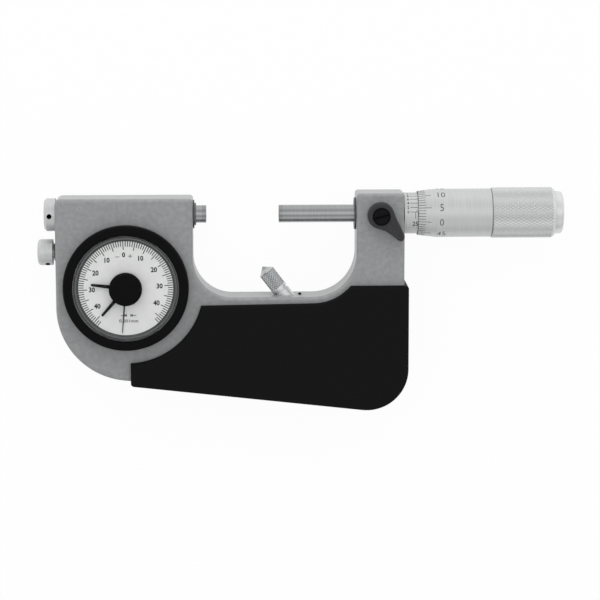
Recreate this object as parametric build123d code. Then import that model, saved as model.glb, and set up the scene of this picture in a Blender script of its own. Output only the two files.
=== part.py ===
from build123d import *
import os
from math import acos, asin, atan2, cos, degrees, hypot, pi, radians, sin, sqrt, tan

# Passameter, an indicating snap micrometer of 25 to 50 mm whose dial reads 0.001 mm.
# It lies on its back, dial up. X runs along the measuring axis from the dial head to the thimble,
# Y runs from the grips towards the measuring axis, and Z runs out of the dial.
# The origin is the centre of the sensitive anvil's measuring face. Every length is in millimetres.

os.makedirs("parts", exist_ok=True)

# Driving dimensions of the frame
FRAME_THICKNESS = 15.0
HEAD_INNER_X = -4.85
HEAD_INNER_WALL = 3.7
HEAD_OUTER_WALL = 4.85
HEAD_TOP_Y = 6.3
HEAD_ROUND = 26.8
THROAT_LENGTH = 58.65
THROAT_DEPTH = 29.4
THROAT_LEFT_ROUND = 14.2
THROAT_RIGHT_ROUND = 15.7
ARM_WIDTH = 17.3
ARM_TOP_Y = 7.9
WEB_HEIGHT_AT_HEAD = 30.5
BOTTOM_SLOPE = 6.3
FRAME_EDGE_ROUND = 1.2

# Hand grips
GRIP_FACE = 2.2
GRIP_SIDE = 1.5
GRIP_ARC_RADIUS = 27.6
GRIP_TOP_Y = -25.3
GRIP_STRIP = 2.2
GRIP_CORNER = 15.0
GRIP_LEFT_X = -27.5
GRIP_EDGE_ROUND = 0.8
GRIP_SCREW_FROM_HEAD = 6.85
GRIP_SCREW_DROP = 9.6
ARM_SCREW_DROP = 8.6
FOOT_SCREW_FROM_ARM = 23.8
FOOT_SCREW_DROP = 21.6
GRIP_BOSS_RADIUS = 2.5
GRIP_BOSS_END_Z = 1.0
GRIP_SCREW_RADIUS = 1.25

# Measuring line
SPINDLE_RADIUS = 3.175
GAP = 26.0
TIP_LENGTH = 1.5
TURN_PITCH = 0.5
RUNNING = 0.03

# Dial
BEZEL_LIP = 2.2
GLASS_MARGIN = 1.3
DIAL_LIFT = 1.7
DIAL_RING_WIDTH = 2.05
DIAL_Y = -25.5
BEZEL_HEIGHT = 3.9
GLASS_THICKNESS = 0.75
DIAL_THICKNESS = 0.5
HAND_THICKNESS = 0.2
UPPER_HAND_REACH = 12.5
LOWER_HAND_REACH = 13.1
UPPER_HAND_ANGLE = 173.6
LOWER_HAND_ANGLE = 228.7
NEEDLE_REACH = 16.2
NEEDLE_TAIL = 4.0
NEEDLE_ANGLE = -95.0
LOWER_KNOB_RADIUS = 5.9
UPPER_KNOB_RADIUS = 5.55
KNOB_TIER = 1.4

# Movement: anvil to needle, 0.001 mm for 2.975 degrees
SECTOR_MODULE = 0.3
SECTOR_FULL_TEETH = 132
SECTOR_CUT_TEETH = 9
PINION_TEETH = 12
WHEEL_MODULE = 0.25
WHEEL_TEETH = 60
CENTRE_TEETH = 8
LEVER_PIVOT_Y = -8.0
CONTACT_ARM = 1.589
CONTACT_OFFSET = 1.9
CONTACT_BALL = 0.35
PLATE_THICKNESS = 1.0
PLATE_GAP = 7.4
PLATE_MARGIN = 1.0819
PLATE_PLAY = 0.2
LEDGE_HEIGHT = 3.6
SECTOR_THICKNESS = 1.0
WHEEL_THICKNESS = 0.7
WHEEL_Z = 2.0
ARBOR_RADIUS = 0.45
PILLAR_RADIUS = 1.4
PIVOT_SINK = 0.2

# Retraction
ROCKER_FROM_LEVER = 5.2
ROCKER_PIVOT_GAP = 0.775
BUTTON_Y = -13.54
BUTTON_RADIUS = 4.7
BUTTON_LENGTH = 5.4
BUTTON_GAP = 1.2
STEM_RADIUS = 2.4
ROCKER_SHORT_ARM = 1.2
REAR_CAP_RADIUS = 5.9
REAR_CAP_LENGTH = 4.0

# Micrometer head
SLEEVE_RADIUS = 7.4
SLEEVE_LENGTH = 31.9
THIMBLE_STANDOFF = 4.85
THIMBLE_LENGTH = 26.85
THIMBLE_PLAY = 0.1
THIMBLE_EDGE_WALL = 0.35
THIMBLE_WALL = 1.2
THIMBLE_GRIP_STEP = 0.45
THIMBLE_BEVEL_LENGTH = 6.55
THIMBLE_GRIP_LENGTH = 22.6
THIMBLE_CAP_RADIUS = 7.65
THIMBLE_CAP_LENGTH = 3.0

# Lock
LOCK_HUB_RADIUS = 5.25
LOCK_TAIL_X = 6.3
LOCK_TAIL_Y = -8.6
LOCK_TAIL_RADIUS = 1.5
LOCK_SCREW_RADIUS = 3.1
LOCK_LEVER_THICKNESS = 3.0
LOCK_STUD_RADIUS = 2.5

# Work stop
STOP_LEAN = 37.4
STOP_TIP_X = 20.1
STOP_TIP_Y = -19.2
STOP_RADIUS = 3.0
STOP_CONE_ANGLE = 100.0
STOP_LENGTH = 26.0

# Sizes of seats, bushes and small pieces
BUSH_WALL = 1.125
COLLAR_STEP = 0.85
WIPER_WALL = 0.875
REAR_SPIGOT_STEP = 0.9
SPRING_WALL = 0.8
COVER_STEP = 1.45
SCREW_EDGE = 1.45
FIXING_EDGE = 0.7
PILLAR_EDGE = 2.5
PILLAR_TAP_DEPTH = 3.0
PLATE_SCREW_LENGTH = 2.5
PLATE_HEAD_RADIUS = 1.1
PLATE_HEAD_HEIGHT = 0.7
HAIRSPRING_LIFT = 0.7
BEZEL_WALL = 1.1
DIAL_SEAT = 0.8
SEAT_STEP = 0.275
GRIP_RING_STEP = 0.5
NUT_LENGTH = 19.0
LOCK_LIFT = 0.8
LOCK_PAD_HEIGHT = 1.025
CAP_ROUND = 0.9
HEAD_CORNER = 2.2
POCKET_DEPTH_BELOW_THROAT = 16.5
POCKET_WALL = 5.0
POCKET_ROUND = 4.0
WEB_THICKNESS = 6.0
PLAY = 0.05
FRONT_BUSH_LENGTH = 22.0
COLLAR_LENGTH = 0.55
WIPER_LENGTH = 0.65
REAR_SPIGOT_LENGTH = 3.5
SPANNER_HOLE_RADIUS = 0.75
SPANNER_HOLE_DEPTH = 1.5
ANVIL_SPRING_RADIUS = 2.3
SPRING_WIRE = 0.25
BUTTON_BUSH_LENGTH = 7.0
BUTTON_SPRING_DEPTH = 3.0
BUTTON_SOCKET = 2.5
BUTTON_DOME = 0.6
BUTTON_HOLE_TILT = 60.0
STEM_NOSE = 1.2
ROCKER_WIDTH = 1.6
ROCKER_THICKNESS = 2.0
ROCKER_FOOT = 1.3
ROCKER_NOSE_RADIUS = 0.5
ROCKER_HUB_RADIUS = 0.7
ROCKER_PIN_RADIUS = 0.35
ROCKER_PIN_TOP_Z = 3.0
ROCKER_NOTCH_DEPTH = 1.2
ROCKER_FREE = 0.4
ANVIL_SPRING_LENGTH = 3.5
REAR_BUSH_CLEAR = 2.6
GRUB_EDGE = 1.93
NUT_SLOT_LENGTH = 6.0
SLOT_WIDTH = 2.4
CONTACT_PIN_RADIUS = 0.75
CONTACT_PIN_TOP_Y = 2.0
HUB_POCKET_RADIUS = 2.2
LEDGE_WIDTH = 1.8
COVER_SINK = 1.6
COVER_RIM = 2.75
COVER_WALL = 1.5
COVER_SCREW_RADIUS = 0.7
COVER_SCREW_DEPTH = 1.6
COVER_HEAD_RADIUS = 1.2
COVER_HEAD_DEPTH = 1.1
COVER_SCREW_ANGLES = [30, 150, 270]
FIXING_SCREW_RADIUS = 0.5
FIXING_HEAD_RADIUS = 0.85
FIXING_HEAD_HEIGHT = 0.7
FIXING_SCREW_ANGLES = [0, 200, 310]
PILLAR_ANGLES = [20, 250, 320]
PLATE_SCREW_RADIUS = 0.6
PLATE_WINDOW_ANGLES = [0, 60, 270]
PLATE_WINDOW_CIRCLE = 11.0
PLATE_WINDOW_RADIUS = 3.8
SECTOR_HUB = 1.5
SECTOR_RIM = 1.3
SECTOR_TOOTH_SHARE = 0.42
WHEEL_TOOTH_SHARE = 0.40
PINION_TOOTH_SHARE = 0.34
TOOTH_ROOT = 1.25
TOOTH_ROOT_SHARE = 1.35
TOOTH_TIP_SHARE = 0.5
COLLET_RADIUS = 1.0
HAIRSPRING_HEIGHT = 0.4
HAIRSPRING_RADIUS = 4.3
HAIRSPRING_RIBBON = 0.12
HAIRSPRING_TURNS = 4
HAIRSPRING_STEPS = 16
BEZEL_SPIGOT = 1.6
BEZEL_BEVEL = 0.9
DIAL_HOLE_RADIUS = 1.0
GLASS_GAP = 1.4
NEEDLE_THICKNESS = 0.15
NEEDLE_GAP = 0.2
NEEDLE_HUB_RADIUS = 1.2
NEEDLE_HUB_HEIGHT = 0.35
LIMIT_TUBE_RADIUS = 1.4
LIMIT_ARBOR_RADIUS = 0.85
LIMIT_HUB_RADIUS = 2.0
LIMIT_ROOT_HALF = 0.85
LIMIT_TIP_HALF = 0.45
FLANGE_RADIUS = 5.75
FLANGE_LENGTH = 0.6
SLEEVE_STEM_RADIUS = 5.6
SLEEVE_STEM_LENGTH = 5.6
NUT_RADIUS = 6.0
ADJUSTER_BORE = 5.0
ADJUSTER_RADIUS = 6.9
ADJUSTER_LENGTH = 3.0
CAP_SPIGOT_RADIUS = 5.5
CAP_SPIGOT_LENGTH = 3.5
CAP_SPIGOT_WALL = 1.5
HUB_LENGTH = 8.0
THIMBLE_SCREW_RADIUS = 1.2
THIMBLE_SCREW_HEAD = 1.8
LOCK_EDGE_ROUND = 0.7
LOCK_HEAD_SINK = 1.0
LOCK_HEAD_HEIGHT = 1.4
LOCK_SLOT_TURN = 15.0
STOP_GROOVE_AT = 11.4
STOP_GROOVE_DEPTH = 0.4
STOP_TRAVEL_IN = 3.0
GRUB_RADIUS = 1.0
GRUB_DEPTH = 3.2
GRIP_SPLIT_Z = 0.0
GRIP_SMALL_ROUND = 1.2
GRIP_STRIP_FALL = 0.6
GRIP_HEAD_RADIUS = 2.3
GRIP_HEAD_HEIGHT = 1.2
GRIP_HEAD_SINK = 0.6

# Worked-out places of the frame
FRONT_Z = FRAME_THICKNESS / 2
BACK_Z = -FRONT_Z
ARM_INNER_X = HEAD_INNER_X + THROAT_LENGTH
ARM_OUTER_X = ARM_INNER_X + ARM_WIDTH
LOCK_X = (ARM_INNER_X + ARM_OUTER_X) / 2
THROAT_Y = -THROAT_DEPTH
REST_Z = BACK_Z - GRIP_FACE
SLOPE = tan(radians(BOTTOM_SLOPE))
GRIP_RIGHT_X = ARM_OUTER_X + GRIP_SIDE
GRIP_SCREWS = [
    (HEAD_INNER_X + GRIP_SCREW_FROM_HEAD, THROAT_Y - GRIP_SCREW_DROP),
    (LOCK_X, THROAT_Y - ARM_SCREW_DROP),
    (ARM_INNER_X - FOOT_SCREW_FROM_ARM, THROAT_Y - FOOT_SCREW_DROP),
]
STOP_THROAT_X = STOP_TIP_X + (STOP_TIP_Y - THROAT_Y) * tan(radians(STOP_LEAN))
GRUB_X = STOP_THROAT_X + STOP_RADIUS / cos(radians(STOP_LEAN)) + GRUB_EDGE

# Worked-out places of the movement, which sets the sizes of the head's cavity, cover and dial
SECTOR_RADIUS = SECTOR_MODULE * SECTOR_FULL_TEETH / 2
WHEEL_Y = LEVER_PIVOT_Y - SECTOR_MODULE * (SECTOR_FULL_TEETH + PINION_TEETH) / 2
WHEEL_CENTRES = WHEEL_MODULE * (WHEEL_TEETH + CENTRE_TEETH) / 2
PIVOT_OFFSET = sqrt(WHEEL_CENTRES**2 - (WHEEL_Y - DIAL_Y) ** 2)
WHEEL_TO_CENTRE_ANGLE = degrees(atan2(DIAL_Y - WHEEL_Y, PIVOT_OFFSET))
PLATE_RADIUS = hypot(PIVOT_OFFSET, LEVER_PIVOT_Y - DIAL_Y) + PLATE_MARGIN
CAVITY_RADIUS = PLATE_RADIUS + PLATE_PLAY
DIAL_X = HEAD_INNER_X - HEAD_INNER_WALL - CAVITY_RADIUS
HEAD_LEFT_X = DIAL_X - CAVITY_RADIUS - HEAD_OUTER_WALL
PIVOT_X = DIAL_X - PIVOT_OFFSET
ARBOR_PLACES = [(PIVOT_X, LEVER_PIVOT_Y), (PIVOT_X, WHEEL_Y), (DIAL_X, DIAL_Y)]
LEDGE_Z = BACK_Z + LEDGE_HEIGHT
FRONT_PLATE_Z = LEDGE_Z + PLATE_THICKNESS + PLATE_GAP
BACK_PIVOT_Z = LEDGE_Z + PIVOT_SINK
FRONT_PIVOT_Z = FRONT_PLATE_Z + PLATE_THICKNESS - PIVOT_SINK
HAIRSPRING_Z = LEDGE_Z + PLATE_THICKNESS + HAIRSPRING_LIFT
PILLAR_CIRCLE = PLATE_RADIUS - PILLAR_EDGE
FIXING_SCREW_CIRCLE = PLATE_RADIUS - FIXING_EDGE
COVER_RADIUS = CAVITY_RADIUS + COVER_STEP
COVER_SEAT_Z = BACK_Z + COVER_SINK
COVER_SCREW_CIRCLE = COVER_RADIUS - SCREW_EDGE
BEZEL_RADIUS = CAVITY_RADIUS + BEZEL_LIP
BEZEL_SPIGOT_INNER = CAVITY_RADIUS - BEZEL_WALL
BEZEL_SPIGOT_Z = FRONT_Z - BEZEL_SPIGOT
GLASS_RADIUS = CAVITY_RADIUS - GLASS_MARGIN
DIAL_SIGHT_RADIUS = GLASS_RADIUS - DIAL_RING_WIDTH
DIAL_LEDGE_RADIUS = GLASS_RADIUS - DIAL_SEAT
DIAL_Z = FRONT_Z + DIAL_LIFT
GLASS_Z = DIAL_Z + GLASS_GAP
NEEDLE_Z = DIAL_Z + NEEDLE_GAP
ARBOR_HAND_Z = NEEDLE_Z + NEEDLE_HUB_HEIGHT + 3 * PLAY
TUBE_HAND_Z = ARBOR_HAND_Z + HAND_THICKNESS + 2 * PLAY
KNOB_Z = GLASS_Z + GLASS_THICKNESS + 3 * PLAY

# Worked-out places of the anvil and its retraction
BUSH_RADIUS = SPINDLE_RADIUS + BUSH_WALL
COLLAR_RADIUS = BUSH_RADIUS + COLLAR_STEP
WIPER_RADIUS = SPINDLE_RADIUS + WIPER_WALL
REAR_SPIGOT_RADIUS = BUSH_RADIUS + REAR_SPIGOT_STEP
CONTACT_PIN_X = PIVOT_X + CONTACT_OFFSET + CONTACT_BALL + RUNNING + CONTACT_PIN_RADIUS
CONTACT_PIN_LENGTH = CONTACT_PIN_TOP_Y - LEVER_PIVOT_Y + CONTACT_ARM + CONTACT_PIN_RADIUS
ROCKER_X = PIVOT_X - ROCKER_FROM_LEVER
REAR_BUSH_END_X = ROCKER_X - REAR_BUSH_CLEAR
ANVIL_END_X = HEAD_LEFT_X + REAR_SPIGOT_LENGTH + ANVIL_SPRING_LENGTH
ROCKER_PIVOT_Y = -SPINDLE_RADIUS - ROCKER_PIVOT_GAP
ROCKER_LONG_ARM = ROCKER_PIVOT_Y - BUTTON_Y
BUTTON_INNER_X = HEAD_LEFT_X - BUTTON_GAP
BUTTON_SPRING_RADIUS = STEM_RADIUS + 2 * SPRING_WIRE
BUTTON_BUSH_RADIUS = BUTTON_SPRING_RADIUS + SPRING_WALL
NEEDLE_SWEEP = radians(340)
TRAIN_RATIO = SECTOR_FULL_TEETH / PINION_TEETH * WHEEL_TEETH / CENTRE_TEETH
ANVIL_TRAVEL = NEEDLE_SWEEP / TRAIN_RATIO * CONTACT_ARM
BUTTON_STROKE = ANVIL_TRAVEL * ROCKER_LONG_ARM / ROCKER_SHORT_ARM

# Worked-out places of the micrometer head and the lock
THIMBLE_BORE = SLEEVE_RADIUS + THIMBLE_PLAY
THIMBLE_EDGE_RADIUS = THIMBLE_BORE + THIMBLE_EDGE_WALL
THIMBLE_RADIUS = THIMBLE_BORE + THIMBLE_WALL
THIMBLE_SEAT_RADIUS = THIMBLE_RADIUS - GRIP_RING_STEP
THIMBLE_GRIP_RADIUS = THIMBLE_RADIUS + THIMBLE_GRIP_STEP
THIMBLE_EDGE_X = ARM_OUTER_X + THIMBLE_STANDOFF
THIMBLE_GRIP_X = THIMBLE_EDGE_X + THIMBLE_LENGTH
THIMBLE_GRIP_END_X = THIMBLE_GRIP_X + THIMBLE_GRIP_LENGTH
SPINDLE_END_X = THIMBLE_GRIP_END_X - CAP_SPIGOT_LENGTH
HUB_X = SPINDLE_END_X - HUB_LENGTH
SEAT_RADIUS = SPINDLE_RADIUS - SEAT_STEP
SLEEVE_END_X = ARM_OUTER_X + SLEEVE_LENGTH
NUT_START_X = SLEEVE_END_X - NUT_LENGTH
LOCK_LEVER_BASE_Z = FRONT_Z + LOCK_LIFT
LOCK_LEVER_TOP_Z = LOCK_LEVER_BASE_Z + LOCK_LEVER_THICKNESS
LOCK_SEAT_Z = LOCK_LEVER_TOP_Z - LOCK_HEAD_SINK
LOCK_PAD_TOP_Z = SPINDLE_RADIUS + LOCK_PAD_HEIGHT


# Shapes used by many pieces
def rod_x(x_start, x_end, radius, y=0.0, z=0.0):
    """A round bar along X."""
    bar = Rot(0, 90, 0) * Cylinder(radius, x_end - x_start)
    return Pos((x_start + x_end) / 2, y, z) * bar


def rod_z(x, y, z_start, z_end, radius):
    """A round bar along Z."""
    return Pos(x, y, (z_start + z_end) / 2) * Cylinder(radius, z_end - z_start)


def turned_x(points, y=0.0):
    """A piece turned about the X direction, from points (x, radius)."""
    outline = make_face(Polyline(*points, close=True))
    return Pos(0, y, 0) * revolve(outline, Axis.X, 360)


def turned_z(points, x=0.0, y=0.0):
    """A piece turned about the Z direction, from points (radius, z)."""
    outline = Plane.XZ * make_face(Polyline(*points, close=True))
    return Pos(x, y, 0) * revolve(outline, Axis.Z, 360)


def plate(outline, z_start, z_end):
    """A flat outline made into a plate."""
    return Pos(0, 0, z_start) * extrude(outline, z_end - z_start)


def block(x_start, x_end, y_start, y_end, z_start, z_end):
    """A straight-sided block between two corners."""
    middle = Pos((x_start + x_end) / 2, (y_start + y_end) / 2, (z_start + z_end) / 2)
    return middle * Box(x_end - x_start, y_end - y_start, z_end - z_start)


def polar(x, y, radius, angle):
    """The point at a radius and an angle in degrees from a centre."""
    return (x + radius * cos(radians(angle)), y + radius * sin(radians(angle)))


def coil(x_start, x_end, radius, wire, turns, y):
    """A coil spring along X of square wire, closed at its two ends by their plain cut."""
    length = x_end - x_start - 2 * wire
    path = Helix(pitch=length / turns, height=length, radius=radius)
    section = Plane(path @ 0, z_dir=path % 0) * Rectangle(2 * wire, 2 * wire)
    spring = sweep(section, path=path, is_frenet=True)
    return Pos(x_start + wire, y, 0) * Rot(0, 90, 0) * spring


# Frame casting
def bottom_y(x):
    """The frame's sloping lower edge."""
    return THROAT_Y - WEB_HEIGHT_AT_HEAD - SLOPE * (x - GRIP_LEFT_X)


def frame_outline():
    """The casting's outline: head, throat and micrometer arm."""
    corners = [
        (HEAD_LEFT_X, HEAD_TOP_Y),
        (HEAD_INNER_X, HEAD_TOP_Y),
        (HEAD_INNER_X, THROAT_Y),
        (ARM_INNER_X, THROAT_Y),
        (ARM_INNER_X, ARM_TOP_Y),
        (ARM_OUTER_X, ARM_TOP_Y),
        (ARM_OUTER_X, bottom_y(ARM_OUTER_X)),
        (HEAD_LEFT_X, bottom_y(HEAD_LEFT_X)),
    ]
    rounds = [
        HEAD_CORNER,
        FRAME_EDGE_ROUND,
        THROAT_LEFT_ROUND,
        THROAT_RIGHT_ROUND,
        FRAME_EDGE_ROUND,
        FRAME_EDGE_ROUND,
        GRIP_CORNER - GRIP_SIDE,
        HEAD_ROUND,
    ]
    return make_face(FilletPolyline(*corners, radius=rounds, close=True))


FRAME_OUTLINE = frame_outline()


def web_pocket_outline():
    """The lightening pocket of the web, which the grips hide."""
    top = THROAT_Y - POCKET_DEPTH_BELOW_THROAT
    left = HEAD_INNER_X + POCKET_WALL
    right = ARM_OUTER_X - POCKET_WALL
    corners = [
        (left, top),
        (right, top),
        (right, bottom_y(right) + POCKET_WALL),
        (left, bottom_y(left) + POCKET_WALL),
    ]
    return make_face(FilletPolyline(*corners, radius=POCKET_ROUND, close=True))


def along_stop(distance):
    """A point on the work stop's axis, measured from its tip into the frame."""
    lean = radians(STOP_LEAN)
    return (STOP_TIP_X + distance * sin(lean), STOP_TIP_Y - distance * cos(lean))


def stop_bar(start, end, radius):
    """A round bar on the work stop's axis."""
    x, y = along_stop((start + end) / 2)
    return Pos(x, y, 0) * Rot(0, 0, STOP_LEAN) * Rot(90, 0, 0) * Cylinder(radius, end - start)


def frame():
    """The cast frame with its bores, movement cavity, slots and pockets."""
    casting = plate(FRAME_OUTLINE, BACK_Z, FRONT_Z)
    flats = casting.faces().filter_by(Axis.Z)
    casting = fillet(flats.edges(), FRAME_EDGE_ROUND)
    # Anvil line
    casting -= rod_x(HEAD_LEFT_X - 1, HEAD_INNER_X + 1, BUSH_RADIUS)
    casting -= rod_x(HEAD_LEFT_X - 1, HEAD_LEFT_X + REAR_SPIGOT_LENGTH, REAR_SPIGOT_RADIUS)
    casting -= rod_x(HEAD_LEFT_X - 1, ROCKER_X - ROCKER_WIDTH, BUTTON_BUSH_RADIUS, BUTTON_Y)
    # Movement cavity, its ledge and the back cover's seat
    casting -= rod_z(DIAL_X, DIAL_Y, LEDGE_Z, FRONT_Z + 1, CAVITY_RADIUS)
    casting -= rod_z(DIAL_X, DIAL_Y, BACK_Z - 1, LEDGE_Z + 1, CAVITY_RADIUS - LEDGE_WIDTH)
    casting -= rod_z(DIAL_X, DIAL_Y, BACK_Z - 1, COVER_SEAT_Z, COVER_RADIUS + PLAY)
    casting -= rod_z(PIVOT_X, LEVER_PIVOT_Y, LEDGE_Z, FRONT_PLATE_Z + PLATE_THICKNESS, HUB_POCKET_RADIUS)
    for angle in COVER_SCREW_ANGLES:
        x, y = polar(DIAL_X, DIAL_Y, COVER_SCREW_CIRCLE, angle)
        casting -= rod_z(x, y, COVER_SEAT_Z - 1, COVER_SEAT_Z + COVER_SCREW_DEPTH, COVER_SCREW_RADIUS)
    for angle in FIXING_SCREW_ANGLES:
        x, y = polar(DIAL_X, DIAL_Y, FIXING_SCREW_CIRCLE, angle)
        casting -= rod_z(x, y, BACK_Z, LEDGE_Z + 1, FIXING_SCREW_RADIUS)
        casting -= rod_z(x, y, BACK_Z, COVER_SEAT_Z + FIXING_HEAD_HEIGHT, FIXING_HEAD_RADIUS)
    # Slots for the retraction rocker and for the anvil's contact pin
    casting -= block(
        ROCKER_X - ROCKER_WIDTH / 2 - 1,
        ROCKER_X + ROCKER_WIDTH / 2 + BUTTON_STROKE + ROCKER_FREE,
        BUTTON_Y - ROCKER_FOOT - 1,
        0,
        -SLOT_WIDTH / 2,
        SLOT_WIDTH / 2,
    )
    casting -= rod_z(ROCKER_X, ROCKER_PIVOT_Y, BACK_Z - 1, ROCKER_PIN_TOP_Z, ROCKER_PIN_RADIUS)
    casting -= block(
        CONTACT_PIN_X - 2 * CONTACT_PIN_RADIUS,
        CONTACT_PIN_X + 2 * CONTACT_PIN_RADIUS,
        LEVER_PIVOT_Y,
        0,
        -SLOT_WIDTH / 2,
        SLOT_WIDTH / 2,
    )
    # Micrometer arm
    casting -= rod_x(ARM_INNER_X - 1, ARM_OUTER_X + 1, SPINDLE_RADIUS + 2 * RUNNING)
    casting -= rod_x(ARM_INNER_X - 1, LOCK_X - LOCK_STUD_RADIUS - 0.5, BUSH_RADIUS)
    casting -= rod_x(ARM_OUTER_X - SLEEVE_STEM_LENGTH, ARM_OUTER_X + 1, SLEEVE_STEM_RADIUS)
    casting -= rod_z(LOCK_X, 0, 0, FRONT_Z + 1, LOCK_STUD_RADIUS + PLAY)
    # Work stop and its grub screw
    casting -= stop_bar(0, STOP_LENGTH + STOP_TRAVEL_IN + 1, STOP_RADIUS + PLAY)
    grub_place = Pos(GRUB_X, THROAT_Y - GRUB_DEPTH / 2, 0) * Rot(90, 0, 0)
    casting -= grub_place * Cylinder(GRUB_RADIUS, GRUB_DEPTH + 2)
    # Web pockets and the holes for the grips' bosses
    pocket = web_pocket_outline()
    casting -= plate(pocket, WEB_THICKNESS / 2, FRONT_Z + 1)
    casting -= plate(pocket, BACK_Z - 1, -WEB_THICKNESS / 2)
    for x, y in GRIP_SCREWS:
        casting -= rod_z(x, y, BACK_Z - 1, FRONT_Z + 1, GRIP_BOSS_RADIUS + PLAY)
    return casting


# Hand grips
def grip_outline():
    """The grips' outline: a round stretch about the dial, a rising corner at the arm, a sloping foot."""
    left_y = DIAL_Y - sqrt(GRIP_ARC_RADIUS**2 - (GRIP_LEFT_X - DIAL_X) ** 2)
    corner_x = ARM_INNER_X - THROAT_RIGHT_ROUND
    corner_y = THROAT_Y + THROAT_RIGHT_ROUND
    corner_radius = THROAT_RIGHT_ROUND + GRIP_STRIP
    top_left_y = THROAT_Y - GRIP_STRIP - GRIP_STRIP_FALL
    top_left_x = DIAL_X + sqrt(GRIP_ARC_RADIUS**2 - (top_left_y - DIAL_Y) ** 2)
    rise = asin((corner_y - GRIP_TOP_Y) / corner_radius)
    start_angle = atan2(left_y - DIAL_Y, GRIP_LEFT_X - DIAL_X)
    end_angle = atan2(top_left_y - DIAL_Y, top_left_x - DIAL_X)
    dial_middle = polar(DIAL_X, DIAL_Y, GRIP_ARC_RADIUS, degrees((start_angle + end_angle) / 2))
    corner_middle = polar(corner_x, corner_y, corner_radius, degrees(-(pi / 2 + rise) / 2))
    corner_end = (corner_x + corner_radius * cos(rise), GRIP_TOP_Y)
    foot = bottom_y(GRIP_RIGHT_X) - GRIP_SIDE
    edges = [
        ThreePointArc((GRIP_LEFT_X, left_y), dial_middle, (top_left_x, top_left_y)),
        Line((top_left_x, top_left_y), (corner_x, corner_y - corner_radius)),
        ThreePointArc((corner_x, corner_y - corner_radius), corner_middle, corner_end),
        Line(corner_end, (GRIP_RIGHT_X, GRIP_TOP_Y)),
        Line((GRIP_RIGHT_X, GRIP_TOP_Y), (GRIP_RIGHT_X, foot)),
        Line((GRIP_RIGHT_X, foot), (GRIP_LEFT_X, bottom_y(GRIP_LEFT_X) - GRIP_SIDE)),
        Line((GRIP_LEFT_X, bottom_y(GRIP_LEFT_X) - GRIP_SIDE), (GRIP_LEFT_X, left_y)),
    ]
    face = make_face(edges)
    right = face.vertices().group_by(Axis.X)[-1].sort_by(Axis.Y)
    left_low = face.vertices().group_by(Axis.X)[0].sort_by(Axis.Y)[0]
    face = fillet(right[0], GRIP_CORNER)
    upper_right = face.vertices().group_by(Axis.X)[-1].sort_by(Axis.Y)[-1]
    face = fillet(upper_right, GRIP_SMALL_ROUND)
    left_low = face.vertices().group_by(Axis.X)[0].sort_by(Axis.Y)[0]
    return fillet(left_low, GRIP_SMALL_ROUND)


def grip_boss(x, y, z_face, z_end):
    """A moulded boss that reaches into the frame, bored for its screw."""
    low, high = min(z_face, z_end), max(z_face, z_end)
    return rod_z(x, y, low, high, GRIP_BOSS_RADIUS)


def front_grip(outline):
    """The front grip: a moulded face whose side wall wraps the frame's foot and outer edge."""
    shell = plate(outline, GRIP_SPLIT_Z, FRONT_Z + GRIP_FACE)
    shell = fillet(shell.faces().sort_by(Axis.Z)[-1].edges(), GRIP_EDGE_ROUND)
    shell -= plate(FRAME_OUTLINE, GRIP_SPLIT_Z - 1, FRONT_Z)
    for x, y in GRIP_SCREWS:
        shell += grip_boss(x, y, FRONT_Z, GRIP_BOSS_END_Z)
        shell -= rod_z(x, y, GRIP_BOSS_END_Z - 1, FRONT_Z, GRIP_SCREW_RADIUS)
    return shell


def rear_grip(outline):
    """The rear grip: the front one's mirror image, counterbored for the screws."""
    shell = plate(outline, REST_Z, GRIP_SPLIT_Z)
    shell = fillet(shell.faces().sort_by(Axis.Z)[0].edges(), GRIP_EDGE_ROUND)
    shell -= plate(FRAME_OUTLINE, BACK_Z, GRIP_SPLIT_Z + 1)
    for x, y in GRIP_SCREWS:
        shell += grip_boss(x, y, BACK_Z, -GRIP_BOSS_END_Z)
        shell -= rod_z(x, y, REST_Z - 1, 0, GRIP_SCREW_RADIUS)
        shell -= rod_z(x, y, REST_Z - 1, REST_Z + GRIP_HEAD_SINK + GRIP_HEAD_HEIGHT, GRIP_HEAD_RADIUS)
    return shell


def grip_screws():
    """Three pan-head screws that draw the two grips together through the frame."""
    screws = []
    head_z = REST_Z + GRIP_HEAD_SINK
    for x, y in GRIP_SCREWS:
        screw = rod_z(x, y, head_z, head_z + GRIP_HEAD_HEIGHT, GRIP_HEAD_RADIUS)
        screw += rod_z(x, y, head_z, FRONT_Z - 1, GRIP_SCREW_RADIUS)
        slot = block(x - GRIP_HEAD_RADIUS, x + GRIP_HEAD_RADIUS, y - 0.3, y + 0.3, head_z - 1, head_z + 0.5)
        screws.append(screw - slot)
    return Compound(children=screws)


# Sensitive anvil and what guides it
def anvil():
    """The sliding anvil, with the hole of its contact pin and the notch of the retraction rocker."""
    bar = rod_x(ANVIL_END_X, -TIP_LENGTH, SPINDLE_RADIUS)
    bar = chamfer(bar.edges().group_by(Axis.X)[0], 0.4)
    bar -= contact_pin()
    notch_left = ROCKER_X - ROCKER_NOSE_RADIUS - RUNNING
    notch_floor = -SPINDLE_RADIUS + ROCKER_NOTCH_DEPTH
    half_slot = SLOT_WIDTH / 2
    bar -= block(notch_left, ROCKER_X + 1.2, -SPINDLE_RADIUS - 1, notch_floor, -half_slot, half_slot)
    return bar


def contact_pin():
    """The hardened pin that hangs from the anvil and pushes the lever."""
    bar = Rot(90, 0, 0) * Cylinder(CONTACT_PIN_RADIUS, CONTACT_PIN_LENGTH)
    return Pos(CONTACT_PIN_X, CONTACT_PIN_TOP_Y - CONTACT_PIN_LENGTH / 2, 0) * bar


def anvil_tip():
    """The hard-metal measuring face of the anvil."""
    tip = rod_x(-TIP_LENGTH, 0, SPINDLE_RADIUS)
    return chamfer(tip.edges().group_by(Axis.X)[-1], 0.15)


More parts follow.
